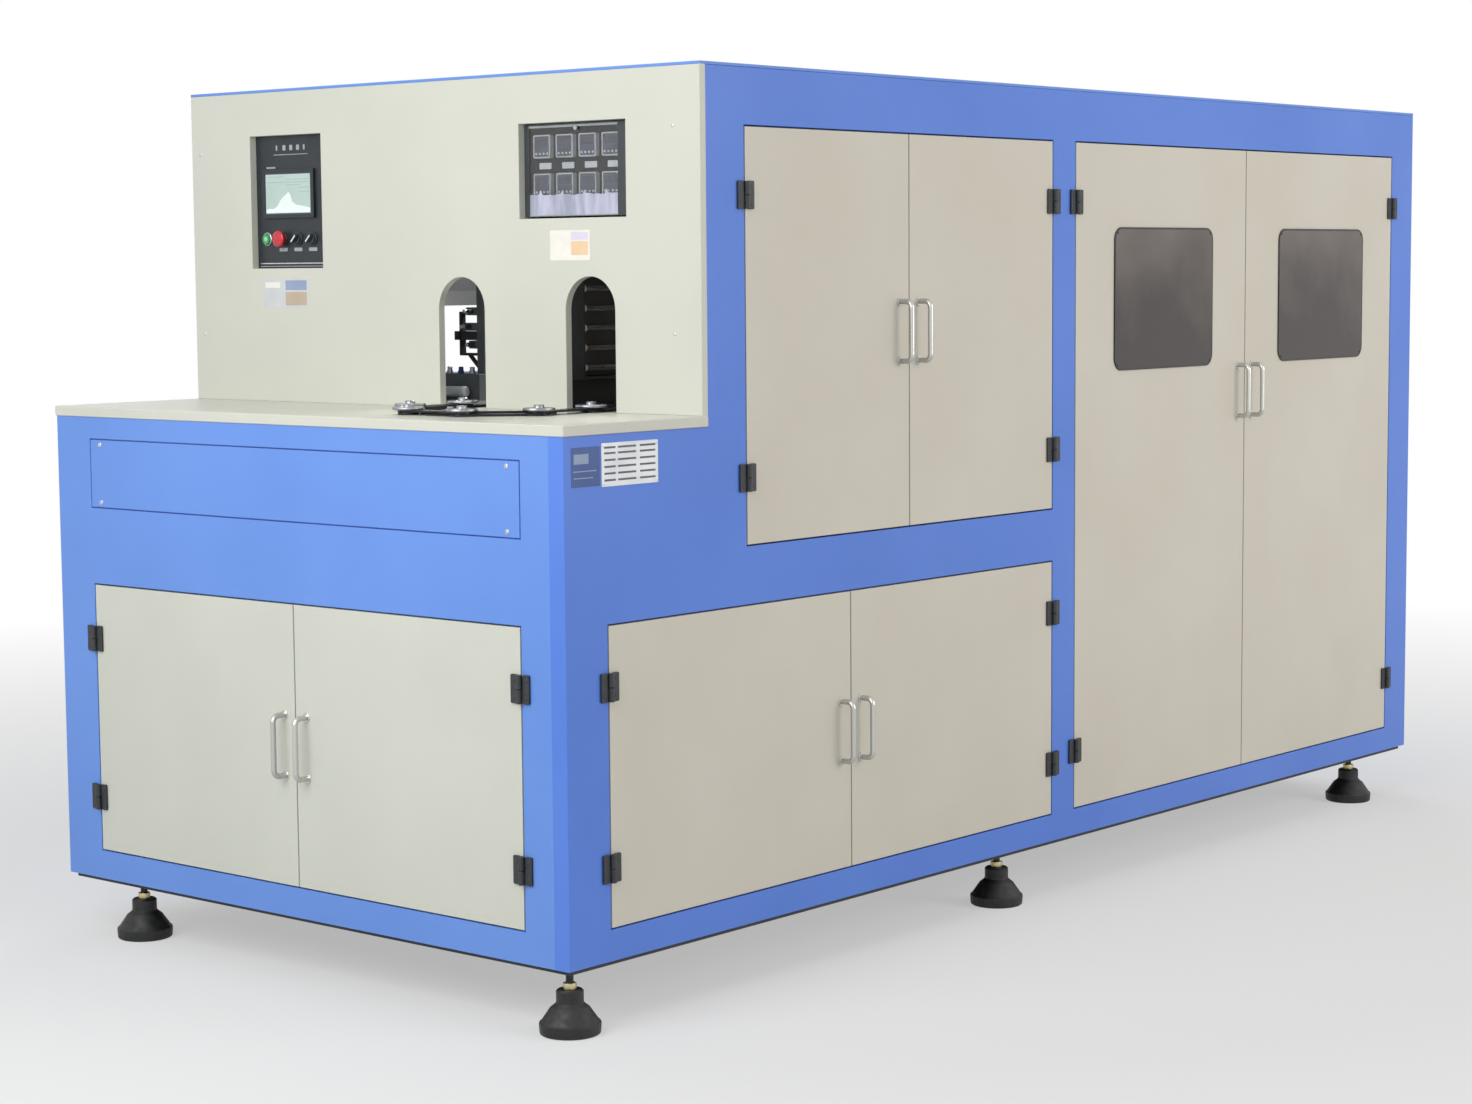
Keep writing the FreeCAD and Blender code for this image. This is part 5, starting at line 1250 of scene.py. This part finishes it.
tank = {"radius": 137.5, "domeDeep": 70.0, "domeSteps": 12, "saddle": 180.0, "saddleThick": 40.0,
        "saddleIn": 60.0, "cradle": 0.66, "seam": ((0, 84), (1.6, 87), (1.6, 91), (0, 94)),
        "plugs": (200.0, 420.0), "plug": ((0, 0), (13, 0), (13, 6), (10, 6), (0, 5))}
low, high = span("air_tank")
tankX, tankZ = (low.x + high.x) / 2, high.z - (high.x - low.x) / 2
vessel = bmesh.new()
length, r, deep = high.y - low.y, tank["radius"], tank["domeDeep"]
turns = [k * pi / 2 / tank["domeSteps"] for k in range(tank["domeSteps"] + 1)]
near = [(r * sin(a), deep - deep * cos(a)) for a in turns] + [(r + out, w) for out, w in tank["seam"]]
far = [(radius, length - w) for radius, w in reversed(near)]
lathe(vessel, near + far, pointing("y", tankX, low.y, tankZ), 72)
half, thick, swing = tank["saddle"] / 2, tank["saddleThick"] / 2, tank["cradle"]
turns = [swing - 2 * swing * k / 16 - pi / 2 for k in range(17)]
cradle = [(-half, low.z), (half, low.z)] + [((r - 0.5) * cos(a), tankZ + (r - 0.5) * sin(a)) for a in turns]
for y in (low.y + tank["saddleIn"], high.y - tank["saddleIn"]):
    plate(vessel, cradle, -thick, thick, facing("front", tankX, y), 1.5)
for y in tank["plugs"]:
    lathe(vessel, tank["plug"], Matrix.Translation((tankX, low.y + y, tankZ + r - 4)), 6, 1)
makePiece("airTank", "machine", vessel, ["blackEnamel", "brassFitting"], ["air_tank"])

gland = {"bore": 6.5, "shell": ((10.5, 0), (11.6, 2), (11.8, 8)), "nut": 17.6, "nutDeep": 12.0}
low, high = span("cable_gland")
inlet = bmesh.new()
at = standing(low, high, low.z)
tall, bore = high.z - low.z, gland["bore"]
shell = [(bore, 1), *gland["shell"], (gland["shell"][-1][0], tall - 11), (bore, tall - 11)]
lathe(inlet, shell, at, 40, closed=True)
nut = circle(gland["nut"], steps=6, start=pi / 6)
plate(inlet, nut, tall - gland["nutDeep"], tall - 0.1, at, 1.2, [circle(bore, steps=24)])
makePiece("cableInlet", "machine", inlet, ["mouldedNylon"], ["cable_gland"])
print("services made")

# Camera and studio. The camera stands where the photograph was taken.

view = {"lens": 71.68, "sensor": 36.0, "place": (4.5666, -5.6916, 1.4740),
        "yaw": 40.159, "pitch": 5.546, "roll": -0.4523}
camera = bpy.data.cameras.new("camera")
camera.lens = view["lens"]
camera.sensor_width = view["sensor"]
yaw, pitch, roll = (radians(view[k]) for k in ("yaw", "pitch", "roll"))
ahead = Vector((-sin(yaw) * cos(pitch), cos(yaw) * cos(pitch), -sin(pitch)))
level = Vector((cos(yaw), sin(yaw), 0))
upward = level.cross(ahead)
rightward = level * cos(roll) + upward * sin(roll)
upward = upward * cos(roll) - level * sin(roll)
cameraObject = addObject("camera", camera)
turned = Matrix((rightward, upward, -ahead)).transposed().to_4x4()
cameraObject.matrix_world = Matrix.Translation(view["place"]) @ turned
bpy.context.scene.camera = cameraObject

# each lamp's place, aim, size, power and tint
lamps = {
    "keyLamp": ((0.4, -4.1, 2.7), (0.1, -1.2, 1.4), 2.6, 83.0, "#FFFFFB"),
    "sideLamp": ((7.0, 2.1, 3.0), (0.7, 0.9, 0.9), 4.0, 188.0, "#FFF8F2"),
    "rearLamp": ((-3.5, 5.0, 4.5), (0, 0.6, 1.0), 3.5, 100.0, "#FFFFFF"),
    # a little light under the top cover, so that what the chain openings show is not black
    "insideLamp": ((0.0, -0.75, 1.83), (0.0, -0.75, 1.2), 0.4, 10.0, "#FFF9EE"),
}
for name, (place, aim, size, power, tint) in lamps.items():
    light = bpy.data.lights.new(name, "AREA")
    light.shape = "SQUARE"
    light.size = size
    light.energy = power
    light.color = linear(tint)[:3]
    lampObject = addObject(name, light)
    lampObject.visible_camera = False
    lampObject.location = place
    lampObject.rotation_euler = (Vector(aim) - Vector(place)).to_track_quat("-Z", "Y").to_euler()

studio = {"floor": 40.0, "sink": 0.0005, "floorColour": "#D2D3D4",
          "fade": {"From Min": 2.0, "From Max": 6.0, "To Min": 0.45, "To Max": 1.0},
          "world": {"Color": linear("#F8F8F8"), "Strength": 0.46}}


def directly(tree):
    # 1 for what the camera meets by sight, mirror or clear sheet, 0 for the light given to others
    path = addNode(tree, "LightPath")
    seen = path.outputs["Is Camera Ray"]
    for ray in ("Is Glossy Ray", "Is Transmission Ray"):
        seen = addNode(tree, "Math", {"operation": "MAXIMUM"}, {0: seen, 1: path.outputs[ray]}).outputs[0]
    return seen


white = {"Color": (1, 1, 1, 1), "Strength": 1.0}
world = bpy.data.worlds.new("studio")
bpy.context.scene.world = world
tree = newTree(world)
dim = addNode(tree, "Background", studio["world"])
bright = addNode(tree, "Background", white)
mixed = addNode(tree, "MixShader", None, {0: directly(tree), 1: dim.outputs[0], 2: bright.outputs[0]})
addNode(tree, "OutputWorld", None, {"Surface": mixed.outputs[0]})

# matt floor that goes over into the white of the background away from the machine
reach = studio["floor"]
floorMesh = bpy.data.meshes.new("floor")
floorMesh.from_pydata([(x, y, 0) for x, y in rect(-reach, reach, -reach, reach)], [], [(0, 1, 2, 3)])
floor = addObject("floor", floorMesh)
floor.location.z = -studio["sink"]
paper = bpy.data.materials.new("whiteFloor")
tree = newTree(paper)
place = addNode(tree, "TexCoord").outputs["Object"]
distance = addNode(tree, "VectorMath", {"operation": "LENGTH"}, {0: place}).outputs["Value"]
share = addNode(tree, "MapRange", studio["fade"], {"Value": distance}).outputs[0]
share = addNode(tree, "Math", {"operation": "MULTIPLY"}, {0: share, 1: directly(tree)}).outputs[0]
matt = addNode(tree, "BsdfDiffuse", {"Color": linear(studio["floorColour"])})
glow = addNode(tree, "Emission", white)
mixed = addNode(tree, "MixShader", None, {0: share, 1: matt.outputs[0], 2: glow.outputs[0]})
addNode(tree, "OutputMaterial", None, {"Surface": mixed.outputs[0]})
floorMesh.materials.append(paper)
bpy.context.scene.view_settings.view_transform = "Standard"
print("studio set")
